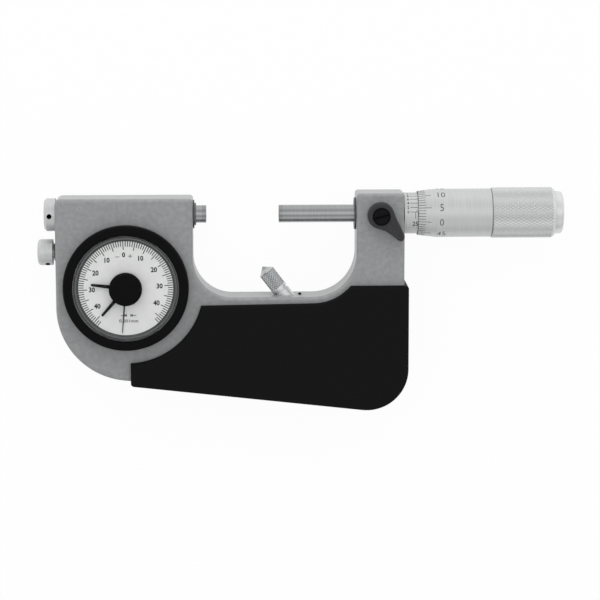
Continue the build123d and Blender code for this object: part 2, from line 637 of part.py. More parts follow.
def anvil_bush():
    """The front guide bush, whose collar seats on the head's inner wall."""
    bore = SPINDLE_RADIUS + RUNNING
    return turned_x(
        [
            (HEAD_INNER_X - FRONT_BUSH_LENGTH, bore),
            (HEAD_INNER_X - FRONT_BUSH_LENGTH, BUSH_RADIUS),
            (HEAD_INNER_X, BUSH_RADIUS),
            (HEAD_INNER_X, COLLAR_RADIUS),
            (HEAD_INNER_X + COLLAR_LENGTH, COLLAR_RADIUS),
            (HEAD_INNER_X + COLLAR_LENGTH, bore),
        ]
    )


def wiper_ring():
    """The rubber ring that wipes the anvil where it enters the bush."""
    start = HEAD_INNER_X + COLLAR_LENGTH
    return turned_x(
        [
            (start, SPINDLE_RADIUS + RUNNING),
            (start, WIPER_RADIUS),
            (start + WIPER_LENGTH - 0.2, WIPER_RADIUS),
            (start + WIPER_LENGTH, WIPER_RADIUS - 0.2),
            (start + WIPER_LENGTH, SPINDLE_RADIUS + RUNNING),
        ]
    )


def rear_bush():
    """The rear guide bush, open at its end for the anvil spring."""
    start = HEAD_LEFT_X + REAR_SPIGOT_LENGTH
    bore = SPINDLE_RADIUS + RUNNING
    return turned_x(
        [
            (start, bore),
            (start, BUSH_RADIUS),
            (REAR_BUSH_END_X, BUSH_RADIUS),
            (REAR_BUSH_END_X, bore),
        ]
    )


def anvil_spring():
    """The coil spring that sets the measuring force."""
    start = HEAD_LEFT_X + REAR_SPIGOT_LENGTH
    return coil(start, ANVIL_END_X, ANVIL_SPRING_RADIUS, SPRING_WIRE, 3, 0)


def rear_cap():
    """The cap that closes the anvil's bore, with a pin-spanner hole in its rim."""
    end = HEAD_LEFT_X - REAR_CAP_LENGTH
    cap = turned_x(
        [
            (end, 0),
            (end, REAR_CAP_RADIUS - 0.8),
            (end + 0.8, REAR_CAP_RADIUS),
            (HEAD_LEFT_X, REAR_CAP_RADIUS),
            (HEAD_LEFT_X, REAR_SPIGOT_RADIUS),
            (HEAD_LEFT_X + REAR_SPIGOT_LENGTH, REAR_SPIGOT_RADIUS),
            (HEAD_LEFT_X + REAR_SPIGOT_LENGTH, 0),
        ]
    )
    hole_x = HEAD_LEFT_X - REAR_CAP_LENGTH / 2
    hole_floor_z = REAR_CAP_RADIUS - SPANNER_HOLE_DEPTH
    return cap - rod_z(hole_x, 0, hole_floor_z, REAR_CAP_RADIUS + 1, SPANNER_HOLE_RADIUS)


# Retraction button
def button():
    """The push button with its domed end and a pin-spanner hole low on its rim."""
    end = BUTTON_INNER_X - BUTTON_LENGTH
    dome = BUTTON_DOME
    cap = turned_x(
        [
            (end, 0),
            (end, BUTTON_RADIUS - 2.2 * dome),
            (end + 0.35 * dome, BUTTON_RADIUS - dome),
            (end + dome, BUTTON_RADIUS - 0.3 * dome),
            (end + 2 * dome, BUTTON_RADIUS),
            (BUTTON_INNER_X, BUTTON_RADIUS),
            (BUTTON_INNER_X, STEM_RADIUS),
            (BUTTON_INNER_X - BUTTON_SOCKET, STEM_RADIUS),
            (BUTTON_INNER_X - BUTTON_SOCKET, 0),
        ],
        BUTTON_Y,
    )
    hole = Pos(BUTTON_INNER_X - BUTTON_LENGTH / 3, BUTTON_Y, 0) * Rot(BUTTON_HOLE_TILT, 0, 0)
    hole *= Pos(0, 0, BUTTON_RADIUS) * Cylinder(SPANNER_HOLE_RADIUS, 2 * SPANNER_HOLE_DEPTH)
    return cap - hole


def button_stem():
    """The stem that carries the push to the rocker, with a rounded nose."""
    nose_x = ROCKER_X - ROCKER_WIDTH / 2 - RUNNING
    stem = rod_x(BUTTON_INNER_X - BUTTON_SOCKET, nose_x - STEM_NOSE, STEM_RADIUS, BUTTON_Y)
    nose = turned_x(
        [
            (nose_x - STEM_NOSE, 0),
            (nose_x - STEM_NOSE, 1.6),
            (nose_x - 0.55, 1.3),
            (nose_x - 0.15, 0.75),
            (nose_x, 0.25),
            (nose_x, 0),
        ],
        BUTTON_Y,
    )
    return stem + nose


def button_bush():
    """The stem's guide, counterbored for the button spring."""
    inner = HEAD_LEFT_X + BUTTON_BUSH_LENGTH
    seat = HEAD_LEFT_X + BUTTON_SPRING_DEPTH
    outer = HEAD_LEFT_X - 0.05
    return turned_x(
        [
            (outer, BUTTON_SPRING_RADIUS + 2 * SPRING_WIRE),
            (outer, BUTTON_BUSH_RADIUS),
            (inner, BUTTON_BUSH_RADIUS),
            (inner, STEM_RADIUS + RUNNING),
            (seat, STEM_RADIUS + RUNNING),
            (seat, BUTTON_SPRING_RADIUS + 2 * SPRING_WIRE),
        ],
        BUTTON_Y,
    )


def button_spring():
    """The coil spring that returns the button."""
    seat = HEAD_LEFT_X + BUTTON_SPRING_DEPTH
    return coil(BUTTON_INNER_X, seat, BUTTON_SPRING_RADIUS, SPRING_WIRE, 4, BUTTON_Y)


def retract_rocker():
    """The rocker: the button pushes its foot, and its nose draws the anvil back."""
    half = ROCKER_WIDTH / 2
    nose_y = ROCKER_PIVOT_Y + ROCKER_SHORT_ARM
    profile = make_face(
        Polyline(
            (ROCKER_X - half, BUTTON_Y - ROCKER_FOOT),
            (ROCKER_X + half, BUTTON_Y - ROCKER_FOOT),
            (ROCKER_X + half, ROCKER_PIVOT_Y - 2),
            (ROCKER_X + ROCKER_NOSE_RADIUS, ROCKER_PIVOT_Y),
            (ROCKER_X + ROCKER_NOSE_RADIUS, nose_y),
            (ROCKER_X - ROCKER_NOSE_RADIUS, nose_y),
            (ROCKER_X - ROCKER_NOSE_RADIUS, ROCKER_PIVOT_Y),
            (ROCKER_X - half, ROCKER_PIVOT_Y - 2),
            close=True,
        )
    )
    profile += Pos(ROCKER_X, nose_y) * Circle(ROCKER_NOSE_RADIUS)
    profile += Pos(ROCKER_X, ROCKER_PIVOT_Y) * Circle(ROCKER_HUB_RADIUS)
    profile -= Pos(ROCKER_X, ROCKER_PIVOT_Y) * Circle(ROCKER_PIN_RADIUS + RUNNING)
    return plate(profile, -ROCKER_THICKNESS / 2, ROCKER_THICKNESS / 2)


def rocker_pin():
    """The pin that the rocker turns on, driven in from the back of the frame."""
    return rod_z(ROCKER_X, ROCKER_PIVOT_Y, BACK_Z, ROCKER_PIN_TOP_Z, ROCKER_PIN_RADIUS)


# Toothed pieces of the movement
def tooth(x, y, angle, root, tip, pitch_half):
    """The four corners of a tooth on its centre line, from right to left as seen from the root."""
    wide = degrees(pitch_half * TOOTH_ROOT_SHARE)
    narrow = degrees(pitch_half * TOOTH_TIP_SHARE)
    return [
        polar(x, y, root, angle - wide),
        polar(x, y, tip, angle - narrow),
        polar(x, y, tip, angle + narrow),
        polar(x, y, root, angle + wide),
    ]


def gear_face(x, y, module, teeth, thickness_share, first_angle, addendum=0.9):
    """A toothed wheel's outline, with one tooth's centre line at first_angle."""
    pitch_radius = module * teeth / 2
    corners = []
    for i in range(teeth):
        angle = first_angle + 360 * i / teeth
        half = thickness_share * pi / teeth
        corners += tooth(
            x, y, angle, pitch_radius - TOOTH_ROOT * module, pitch_radius + addendum * module, half
        )
    return make_face(Polyline(*corners, close=True))


def sector_lever():
    """The amplifying lever: a hub, a tapering arm with a window, and a toothed rim."""
    pitch_radius = SECTOR_MODULE * SECTOR_FULL_TEETH / 2
    root = pitch_radius - TOOTH_ROOT * SECTOR_MODULE
    tip = pitch_radius + 0.9 * SECTOR_MODULE
    step = 360 / SECTOR_FULL_TEETH
    half_span = step * SECTOR_CUT_TEETH / 2
    corners = [(PIVOT_X - SECTOR_HUB * 0.8, LEVER_PIVOT_Y)]
    corners.append(polar(PIVOT_X, LEVER_PIVOT_Y, root - SECTOR_RIM, -90 - half_span))
    corners.append(polar(PIVOT_X, LEVER_PIVOT_Y, root, -90 - half_span))
    for i in range(SECTOR_CUT_TEETH):
        angle = -90 + step * (i - (SECTOR_CUT_TEETH - 1) / 2)
        half = SECTOR_TOOTH_SHARE * pi / SECTOR_FULL_TEETH
        corners += tooth(PIVOT_X, LEVER_PIVOT_Y, angle, root, tip, half)
    corners.append(polar(PIVOT_X, LEVER_PIVOT_Y, root, -90 + half_span))
    corners.append(polar(PIVOT_X, LEVER_PIVOT_Y, root - SECTOR_RIM, -90 + half_span))
    corners.append((PIVOT_X + SECTOR_HUB * 0.8, LEVER_PIVOT_Y))
    face = make_face(Polyline(*corners, close=True))
    face += Pos(PIVOT_X, LEVER_PIVOT_Y) * Circle(SECTOR_HUB)
    window_top = LEVER_PIVOT_Y - 0.45 * pitch_radius
    window_low = LEVER_PIVOT_Y - root + SECTOR_RIM
    window = [
        (PIVOT_X - 0.8, window_top),
        (PIVOT_X + 0.8, window_top),
        (PIVOT_X + 2.4, window_low),
        (PIVOT_X - 2.4, window_low),
    ]
    face -= make_face(FilletPolyline(*window, radius=0.4, close=True))
    face -= Pos(PIVOT_X, LEVER_PIVOT_Y) * Circle(ARBOR_RADIUS)
    lever = plate(face, -SECTOR_THICKNESS / 2, SECTOR_THICKNESS / 2)
    return lever - lever_contact()


def lever_contact():
    """The hard ball-ended pin of the lever, which rides on the anvil's contact pin."""
    y = LEVER_PIVOT_Y - CONTACT_ARM
    return rod_x(PIVOT_X, PIVOT_X + CONTACT_OFFSET, CONTACT_BALL, y) + Pos(
        PIVOT_X + CONTACT_OFFSET, y, 0
    ) * Sphere(CONTACT_BALL)


def lever_arbor():
    """The lever's arbor between the two plates."""
    return rod_z(PIVOT_X, LEVER_PIVOT_Y, BACK_PIVOT_Z, FRONT_PIVOT_Z, ARBOR_RADIUS)


def wheel():
    """The intermediate wheel with four round crossings."""
    face = gear_face(
        PIVOT_X, WHEEL_Y, WHEEL_MODULE, WHEEL_TEETH, WHEEL_TOOTH_SHARE, WHEEL_TO_CENTRE_ANGLE
    )
    ring = WHEEL_MODULE * WHEEL_TEETH / 4 + 0.4
    for i in range(4):
        face -= Pos(*polar(PIVOT_X, WHEEL_Y, ring, 45 + 90 * i)) * Circle(1.7)
    face -= Pos(PIVOT_X, WHEEL_Y) * Circle(ARBOR_RADIUS)
    return plate(face, WHEEL_Z, WHEEL_Z + WHEEL_THICKNESS)


def wheel_pinion():
    """The wheel's arbor with the pinion that the sector drives."""
    face = gear_face(
        PIVOT_X, WHEEL_Y, SECTOR_MODULE, PINION_TEETH, PINION_TOOTH_SHARE, 90 + 180 / PINION_TEETH
    )
    pinion = plate(face, -SECTOR_THICKNESS, WHEEL_Z)
    return pinion + rod_z(PIVOT_X, WHEEL_Y, BACK_PIVOT_Z, FRONT_PIVOT_Z, ARBOR_RADIUS)


def centre_pinion():
    """The centre arbor, which carries the needle, with its pinion."""
    face = gear_face(
        DIAL_X,
        DIAL_Y,
        WHEEL_MODULE,
        CENTRE_TEETH,
        PINION_TOOTH_SHARE,
        WHEEL_TO_CENTRE_ANGLE + 180 + 180 / CENTRE_TEETH,
    )
    pinion = plate(face, WHEEL_Z - 0.4, WHEEL_Z + WHEEL_THICKNESS + 0.4)
    arbor = rod_z(DIAL_X, DIAL_Y, BACK_PIVOT_Z, NEEDLE_Z + NEEDLE_HUB_HEIGHT, ARBOR_RADIUS)
    return pinion + arbor


def hairspring_collet():
    """The brass collet that holds the hairspring's inner end on the centre arbor."""
    return rod_z(DIAL_X, DIAL_Y, HAIRSPRING_Z - 0.15, HAIRSPRING_Z + 0.55, COLLET_RADIUS) - rod_z(
        DIAL_X, DIAL_Y, HAIRSPRING_Z - 1, HAIRSPRING_Z + 1, ARBOR_RADIUS
    )


def hairspring():
    """The flat spiral spring that takes up the play of the train."""
    inner, outer = [], []
    steps = HAIRSPRING_TURNS * HAIRSPRING_STEPS
    for i in range(steps + 1):
        radius = COLLET_RADIUS + 0.12 + (HAIRSPRING_RADIUS - COLLET_RADIUS - 0.12) * i / steps
        angle = 360 * i / HAIRSPRING_STEPS
        inner.append(polar(DIAL_X, DIAL_Y, radius - HAIRSPRING_RIBBON / 2, angle))
        outer.append(polar(DIAL_X, DIAL_Y, radius + HAIRSPRING_RIBBON / 2, angle))
    ribbon = make_face(Polyline(*(inner + outer[::-1]), close=True))
    return plate(ribbon, HAIRSPRING_Z, HAIRSPRING_Z + HAIRSPRING_HEIGHT)


def hairspring_stud():
    """The stud on the back plate that pins the hairspring's outer end."""
    x = DIAL_X + HAIRSPRING_RADIUS + HAIRSPRING_RIBBON / 2 + 0.5
    return rod_z(x, DIAL_Y, LEDGE_Z + PLATE_THICKNESS, HAIRSPRING_Z + HAIRSPRING_HEIGHT, 0.5)


# Plates of the movement
def back_plate():
    """The movement's back plate, seated on the ledge of the cavity."""
    disc = rod_z(DIAL_X, DIAL_Y, LEDGE_Z, LEDGE_Z + PLATE_THICKNESS, PLATE_RADIUS)
    for x, y in ARBOR_PLACES:
        disc -= rod_z(x, y, LEDGE_Z - 1, FRONT_Z, ARBOR_RADIUS + RUNNING)
    for angle in FIXING_SCREW_ANGLES:
        x, y = polar(DIAL_X, DIAL_Y, FIXING_SCREW_CIRCLE, angle)
        disc -= rod_z(x, y, LEDGE_Z - 1, FRONT_Z, FIXING_SCREW_RADIUS)
    return disc


def front_plate():
    """The movement's front plate, opened over the train so that it can be set."""
    low, high = FRONT_PLATE_Z, FRONT_PLATE_Z + PLATE_THICKNESS
    disc = rod_z(DIAL_X, DIAL_Y, low, high, PLATE_RADIUS)
    for x, y in ARBOR_PLACES:
        disc -= rod_z(x, y, low - 1, high + 1, ARBOR_RADIUS + RUNNING)
    for angle in PILLAR_ANGLES:
        x, y = polar(DIAL_X, DIAL_Y, PILLAR_CIRCLE, angle)
        disc -= rod_z(x, y, low - 1, high + 1, PLATE_SCREW_RADIUS)
    for angle in PLATE_WINDOW_ANGLES:
        x, y = polar(DIAL_X, DIAL_Y, PLATE_WINDOW_CIRCLE, angle)
        disc -= rod_z(x, y, low - 1, high + 1, PLATE_WINDOW_RADIUS)
    return disc


def pillars():
    """Three pillars between the plates, tapped for the plate screws."""
    posts = []
    for angle in PILLAR_ANGLES:
        x, y = polar(DIAL_X, DIAL_Y, PILLAR_CIRCLE, angle)
        post = rod_z(x, y, LEDGE_Z + PLATE_THICKNESS, FRONT_PLATE_Z, PILLAR_RADIUS)
        tap_floor_z = FRONT_PLATE_Z - PILLAR_TAP_DEPTH
        posts.append(post - rod_z(x, y, tap_floor_z, FRONT_PLATE_Z + 1, PLATE_SCREW_RADIUS))
    return Compound(children=posts)


def screw_z(x, y, seat_z, shank, radius, head_radius, head_height, up=1):
    """A slotted cheese-head screw whose head sits on seat_z; up is the head's direction."""
    top = seat_z + up * head_height
    head = rod_z(x, y, min(seat_z, top), max(seat_z, top), head_radius)
    end = seat_z - up * shank
    body = rod_z(x, y, min(seat_z, end), max(seat_z, end), radius)
    slot_low, slot_high = sorted((top - up * head_height * 0.4, top + up))
    return head + body - block(x - head_radius, x + head_radius, y - 0.15, y + 0.15, slot_low, slot_high)


def plate_screws():
    """Three screws that hold the front plate on its pillars."""
    screws = []
    for angle in PILLAR_ANGLES:
        x, y = polar(DIAL_X, DIAL_Y, PILLAR_CIRCLE, angle)
        seat = FRONT_PLATE_Z + PLATE_THICKNESS
        shank = PLATE_THICKNESS + PLATE_SCREW_LENGTH
        screws.append(screw_z(x, y, seat, shank, PLATE_SCREW_RADIUS, PLATE_HEAD_RADIUS, PLATE_HEAD_HEIGHT))
    return Compound(children=screws)


def fixing_screws():
    """Three screws that hold the movement against the ledge, from behind."""
    screws = []
    for angle in FIXING_SCREW_ANGLES:
        x, y = polar(DIAL_X, DIAL_Y, FIXING_SCREW_CIRCLE, angle)
        seat = COVER_SEAT_Z + FIXING_HEAD_HEIGHT
        shank = LEDGE_Z + PLATE_THICKNESS - seat
        screws.append(
            screw_z(x, y, seat, shank, FIXING_SCREW_RADIUS, FIXING_HEAD_RADIUS, FIXING_HEAD_HEIGHT - 0.1, -1)
        )
    return Compound(children=screws)


# Back cover of the head
def back_cover():
    """The round cover behind the movement, whose rim seats in the frame."""
    cover = turned_z(
        [
            (0, REST_Z),
            (COVER_RADIUS - 0.8, REST_Z),
            (COVER_RADIUS, REST_Z + 0.8),
            (COVER_RADIUS, COVER_SEAT_Z),
            (COVER_RADIUS - COVER_RIM, COVER_SEAT_Z),
            (COVER_RADIUS - COVER_RIM, REST_Z + COVER_WALL),
            (0, REST_Z + COVER_WALL),
        ],
        DIAL_X,
        DIAL_Y,
    )
    for angle in COVER_SCREW_ANGLES:
        x, y = polar(DIAL_X, DIAL_Y, COVER_SCREW_CIRCLE, angle)
        cover -= rod_z(x, y, REST_Z - 1, COVER_SEAT_Z + 1, COVER_SCREW_RADIUS)
        cover -= rod_z(x, y, REST_Z - 1, REST_Z + COVER_HEAD_DEPTH, COVER_HEAD_RADIUS)
    return cover


def cover_screws():
    """Three sunk screws of the back cover."""
    screws = []
    for angle in COVER_SCREW_ANGLES:
        x, y = polar(DIAL_X, DIAL_Y, COVER_SCREW_CIRCLE, angle)
        seat = REST_Z + COVER_HEAD_DEPTH
        shank = COVER_SEAT_Z + COVER_SCREW_DEPTH - 0.1 - seat
        head_depth = COVER_HEAD_DEPTH - 0.2
        screws.append(screw_z(x, y, seat, shank, COVER_SCREW_RADIUS, COVER_HEAD_RADIUS, head_depth, -1))
    return Compound(children=screws)


# Dial group, which turns with the bezel to set zero
def bezel():
    """The black bezel ring, with the spigot that guides it in the head and the ledge of the dial."""
    base = FRONT_Z + PLAY
    top = FRONT_Z + BEZEL_HEIGHT
    return turned_z(
        [
            (BEZEL_SPIGOT_INNER, BEZEL_SPIGOT_Z),
            (CAVITY_RADIUS - 2 * PLAY, BEZEL_SPIGOT_Z),
            (CAVITY_RADIUS - 2 * PLAY, base),
            (BEZEL_RADIUS, base),
            (BEZEL_RADIUS, top - BEZEL_BEVEL),
            (BEZEL_RADIUS - 0.3 * BEZEL_BEVEL, top - 0.3 * BEZEL_BEVEL),
            (BEZEL_RADIUS - BEZEL_BEVEL, top),
            (GLASS_RADIUS + 0.4, top),
            (GLASS_RADIUS, top - 0.4),
            (GLASS_RADIUS, DIAL_Z - DIAL_THICKNESS),
            (DIAL_LEDGE_RADIUS, DIAL_Z - DIAL_THICKNESS),
            (DIAL_LEDGE_RADIUS, DIAL_Z - DIAL_THICKNESS - 1.2),
            (BEZEL_SPIGOT_INNER, DIAL_Z - DIAL_THICKNESS - 1.2),
        ],
        DIAL_X,
        DIAL_Y,
    )


def dial():
    """The white dial plate."""
    disc = rod_z(DIAL_X, DIAL_Y, DIAL_Z - DIAL_THICKNESS, DIAL_Z, GLASS_RADIUS)
    return disc - rod_z(DIAL_X, DIAL_Y, DIAL_Z - 1, DIAL_Z + 1, DIAL_HOLE_RADIUS)


def dial_ring():
    """The satin cone ring between the dial and the glass."""
    return turned_z(
        [
            (DIAL_SIGHT_RADIUS, DIAL_Z),
            (GLASS_RADIUS, DIAL_Z),
            (GLASS_RADIUS, GLASS_Z),
            (GLASS_RADIUS - 0.25, GLASS_Z),
        ],
        DIAL_X,
        DIAL_Y,
    )


def glass():
    """The crystal, bored for the two limit arbors."""
    disc = rod_z(DIAL_X, DIAL_Y, GLASS_Z, GLASS_Z + GLASS_THICKNESS, GLASS_RADIUS)
    return disc - rod_z(DIAL_X, DIAL_Y, GLASS_Z - 1, GLASS_Z + 2, LIMIT_TUBE_RADIUS + PLAY)


def hand_face(angle, start, reach, root_half, tip_half):
    """A tapered hand's outline with a rounded tip, from the centre outwards."""
    across = radians(angle + 90)
    side = (cos(across), sin(across))
    near = polar(DIAL_X, DIAL_Y, start, angle)
    far = polar(DIAL_X, DIAL_Y, reach - tip_half, angle)
    corners = [
        (near[0] + side[0] * root_half, near[1] + side[1] * root_half),
        (far[0] + side[0] * tip_half, far[1] + side[1] * tip_half),
        (far[0] - side[0] * tip_half, far[1] - side[1] * tip_half),
        (near[0] - side[0] * root_half, near[1] - side[1] * root_half),
    ]
    return make_face(Polyline(*corners, close=True)) + Pos(*far) * Circle(tip_half)


def needle():
    """The needle with its hub and tail."""
    blade = hand_face(NEEDLE_ANGLE, -NEEDLE_TAIL, NEEDLE_REACH, 0.35, 0.12)
    blade = plate(blade, NEEDLE_Z, NEEDLE_Z + NEEDLE_THICKNESS)
    hub = rod_z(DIAL_X, DIAL_Y, NEEDLE_Z, NEEDLE_Z + NEEDLE_HUB_HEIGHT, NEEDLE_HUB_RADIUS)
    return blade + hub - rod_z(DIAL_X, DIAL_Y, NEEDLE_Z - 1, NEEDLE_Z + 1, ARBOR_RADIUS)


def limit_hand(angle, reach, z):
    """A thick limit hand on its hub."""
    blade = hand_face(angle, 0, reach, LIMIT_ROOT_HALF, LIMIT_TIP_HALF)
    blade += Pos(DIAL_X, DIAL_Y) * Circle(LIMIT_HUB_RADIUS)
    return plate(blade, z, z + HAND_THICKNESS)


def lower_limit_hand():
    """The lower limit hand, fixed on the tube."""
    hand = limit_hand(LOWER_HAND_ANGLE, LOWER_HAND_REACH, TUBE_HAND_Z)
    return hand - rod_z(DIAL_X, DIAL_Y, TUBE_HAND_Z - 1, TUBE_HAND_Z + 1, LIMIT_TUBE_RADIUS)


def lower_knob():
    """The lower tier of the centre knob with its tube through the glass."""
    tier = rod_z(DIAL_X, DIAL_Y, KNOB_Z, KNOB_Z + KNOB_TIER, LOWER_KNOB_RADIUS)
    tier += rod_z(DIAL_X, DIAL_Y, TUBE_HAND_Z, KNOB_Z, LIMIT_TUBE_RADIUS)
    return tier - rod_z(DIAL_X, DIAL_Y, TUBE_HAND_Z - 1, KNOB_Z + KNOB_TIER + 1, LIMIT_ARBOR_RADIUS + RUNNING)


def upper_limit_hand():
    """The upper limit hand, fixed on the arbor."""
    hand = limit_hand(UPPER_HAND_ANGLE, UPPER_HAND_REACH, ARBOR_HAND_Z)
    return hand - rod_z(DIAL_X, DIAL_Y, ARBOR_HAND_Z - 1, ARBOR_HAND_Z + 1, LIMIT_ARBOR_RADIUS)


def upper_knob():
    """The upper tier of the centre knob with its arbor inside the tube."""
    low = KNOB_Z + KNOB_TIER + PLAY
    tier = rod_z(DIAL_X, DIAL_Y, low, low + KNOB_TIER, UPPER_KNOB_RADIUS)
    tier = chamfer(tier.edges().group_by(Axis.Z)[-1], 0.3)
    return tier + rod_z(DIAL_X, DIAL_Y, ARBOR_HAND_Z, low, LIMIT_ARBOR_RADIUS)


# Micrometer head
def spindle_bush():
    """The spindle's guide bush, whose dark flange shows at the arm's inner wall."""
    bore = SPINDLE_RADIUS + RUNNING
    end = LOCK_X - LOCK_STUD_RADIUS - 0.5
    return turned_x(
        [
            (ARM_INNER_X - FLANGE_LENGTH, bore),
            (ARM_INNER_X - FLANGE_LENGTH, FLANGE_RADIUS),
            (ARM_INNER_X, FLANGE_RADIUS),
            (ARM_INNER_X, BUSH_RADIUS),
            (end, BUSH_RADIUS),
            (end, bore),
        ]
    )


def sleeve():
    """The barrel sleeve, pressed into the arm by its stem and bored for the spindle nut."""
    stem_x = ARM_OUTER_X - SLEEVE_STEM_LENGTH
    return turned_x(
        [
            (stem_x, SPINDLE_RADIUS + 2 * RUNNING),
            (stem_x, SLEEVE_STEM_RADIUS),
            (ARM_OUTER_X, SLEEVE_STEM_RADIUS),
            (ARM_OUTER_X, SLEEVE_RADIUS),
            (SLEEVE_END_X, SLEEVE_RADIUS),
            (SLEEVE_END_X, NUT_RADIUS),
            (NUT_START_X, NUT_RADIUS),
            (NUT_START_X, SPINDLE_RADIUS + 2 * RUNNING),
        ]
    )


def spindle_nut():
    """The nut that the spindle's thread runs in, with a slotted taper for adjustment."""
    bore = SPINDLE_RADIUS + RUNNING
    end = SLEEVE_END_X + ADJUSTER_LENGTH + 1
    nut = turned_x(
        [
            (NUT_START_X, bore),
            (NUT_START_X, NUT_RADIUS),
            (SLEEVE_END_X, NUT_RADIUS),
            (SLEEVE_END_X, ADJUSTER_BORE),
            (end, ADJUSTER_BORE),
            (end, bore),
        ]
    )
    for i in range(3):
        slot = block(SLEEVE_END_X - NUT_SLOT_LENGTH, end + 1, bore - 0.5, NUT_RADIUS + 1, -0.4, 0.4)
        nut -= Rot(120 * i, 0, 0) * slot
    return nut


def adjusting_nut():
    """The ring nut that closes the spindle nut to take up play."""
    start = SLEEVE_END_X + 0.3
    return turned_x(
        [
            (start, ADJUSTER_BORE),
            (start, ADJUSTER_RADIUS),
            (start + ADJUSTER_LENGTH, ADJUSTER_RADIUS),
            (start + ADJUSTER_LENGTH, ADJUSTER_BORE),
        ]
    )


def spindle():
    """The spindle with its seat for the thimble and the hole of the thimble screw."""
    bar = turned_x(
        [
            (GAP + TIP_LENGTH, 0),
            (GAP + TIP_LENGTH, SPINDLE_RADIUS),
            (HUB_X - 1, SPINDLE_RADIUS),
            (HUB_X - 1, SEAT_RADIUS),
            (SPINDLE_END_X, SEAT_RADIUS),
            (SPINDLE_END_X, 0),
        ]
    )
    return bar - rod_x(HUB_X, SPINDLE_END_X + 1, THIMBLE_SCREW_RADIUS)


def spindle_tip():
    """The hard-metal measuring face of the spindle."""
    tip = rod_x(GAP, GAP + TIP_LENGTH, SPINDLE_RADIUS)
    return chamfer(tip.edges().group_by(Axis.X)[0], 0.15)


def thimble():
    """The graduated thimble with its bevelled edge and its hub on the spindle."""
    return turned_x(
        [
            (THIMBLE_EDGE_X, THIMBLE_BORE),
            (THIMBLE_EDGE_X, THIMBLE_EDGE_RADIUS),
            (THIMBLE_EDGE_X + THIMBLE_BEVEL_LENGTH, THIMBLE_RADIUS),
            (THIMBLE_GRIP_X, THIMBLE_RADIUS),
            (THIMBLE_GRIP_X, THIMBLE_SEAT_RADIUS),
            (THIMBLE_GRIP_END_X - 0.5, THIMBLE_SEAT_RADIUS),
            (THIMBLE_GRIP_END_X - 0.5, CAP_SPIGOT_RADIUS),
            (SPINDLE_END_X, CAP_SPIGOT_RADIUS),
            (SPINDLE_END_X, SEAT_RADIUS),
            (HUB_X, SEAT_RADIUS),
            (HUB_X, THIMBLE_BORE),
        ]
    )


def thimble_grip():
    """The grip ring of the thimble, bevelled at both ends."""
    end = THIMBLE_GRIP_END_X
    return turned_x(
        [
            (THIMBLE_GRIP_X, THIMBLE_SEAT_RADIUS),
            (THIMBLE_GRIP_X, THIMBLE_GRIP_RADIUS - 0.3),
            (THIMBLE_GRIP_X + 0.4, THIMBLE_GRIP_RADIUS),
            (end - 1.1, THIMBLE_GRIP_RADIUS),
            (end, THIMBLE_GRIP_RADIUS - 0.8),
            (end, THIMBLE_SEAT_RADIUS),
        ]
    )


def thimble_cap():
    """The smooth end cap, with a spigot in the thimble."""
    start = THIMBLE_GRIP_END_X
    end = start + THIMBLE_CAP_LENGTH
    inner = CAP_SPIGOT_RADIUS - CAP_SPIGOT_WALL
    return turned_x(
        [
            (SPINDLE_END_X, inner),
            (SPINDLE_END_X, CAP_SPIGOT_RADIUS),
            (start, CAP_SPIGOT_RADIUS),
            (start, THIMBLE_CAP_RADIUS),
            (end - CAP_ROUND, THIMBLE_CAP_RADIUS),
            (end - CAP_ROUND / 3, THIMBLE_CAP_RADIUS - CAP_ROUND / 3),
            (end, THIMBLE_CAP_RADIUS - CAP_ROUND),
            (end, 0),
            (start, 0),
            (start, inner),
        ]
    )


def thimble_screw():
    """The screw that draws the thimble onto the spindle's seat."""
    head_end = SPINDLE_END_X + THIMBLE_SCREW_HEAD
    screw = rod_x(HUB_X + 0.3, SPINDLE_END_X, THIMBLE_SCREW_RADIUS)
    screw += rod_x(SPINDLE_END_X, head_end, SEAT_RADIUS)
    return screw - block(head_end - 0.8, head_end + 1, -SEAT_RADIUS, SEAT_RADIUS, -0.3, 0.3)


# Spindle lock
def lock_lever():
    """The tear-shaped lock lever."""
    hub = Pos(LOCK_X, 0) * Circle(LOCK_HUB_RADIUS)
    tail = Pos(LOCK_X + LOCK_TAIL_X, LOCK_TAIL_Y) * Circle(LOCK_TAIL_RADIUS)
    outline = make_hull(hub.edges() + tail.edges())
    lever = plate(outline, LOCK_LEVER_BASE_Z, LOCK_LEVER_TOP_Z)
    lever = fillet(lever.faces().sort_by(Axis.Z)[-1].edges(), LOCK_EDGE_ROUND)
    lever -= rod_z(LOCK_X, 0, FRONT_Z, LOCK_LEVER_TOP_Z + 1, LOCK_STUD_RADIUS)
    return lever - rod_z(LOCK_X, 0, LOCK_SEAT_Z, LOCK_LEVER_TOP_Z + 1, LOCK_SCREW_RADIUS)


def lock_screw():
    """The slotted lock screw: its stud presses the pad, and its head holds the lever."""
    top = LOCK_SEAT_Z + LOCK_HEAD_HEIGHT
    screw = rod_z(LOCK_X, 0, LOCK_PAD_TOP_Z + RUNNING, LOCK_SEAT_Z, LOCK_STUD_RADIUS)
    screw += rod_z(LOCK_X, 0, LOCK_SEAT_Z, top, LOCK_SCREW_RADIUS)
    slot = block(-LOCK_SCREW_RADIUS - 1, LOCK_SCREW_RADIUS + 1, -0.35, 0.35, top - 0.7, top + 1)
    return screw - Pos(LOCK_X, 0, 0) * Rot(0, 0, LOCK_SLOT_TURN) * slot


def lock_washer():
    """The spacer ring between the arm and the lock lever."""
    ring = rod_z(LOCK_X, 0, FRONT_Z, LOCK_LEVER_BASE_Z - PLAY, LOCK_STUD_RADIUS + 1.2)
    return ring - rod_z(LOCK_X, 0, FRONT_Z - 1, FRONT_Z + 3, LOCK_STUD_RADIUS + PLAY)


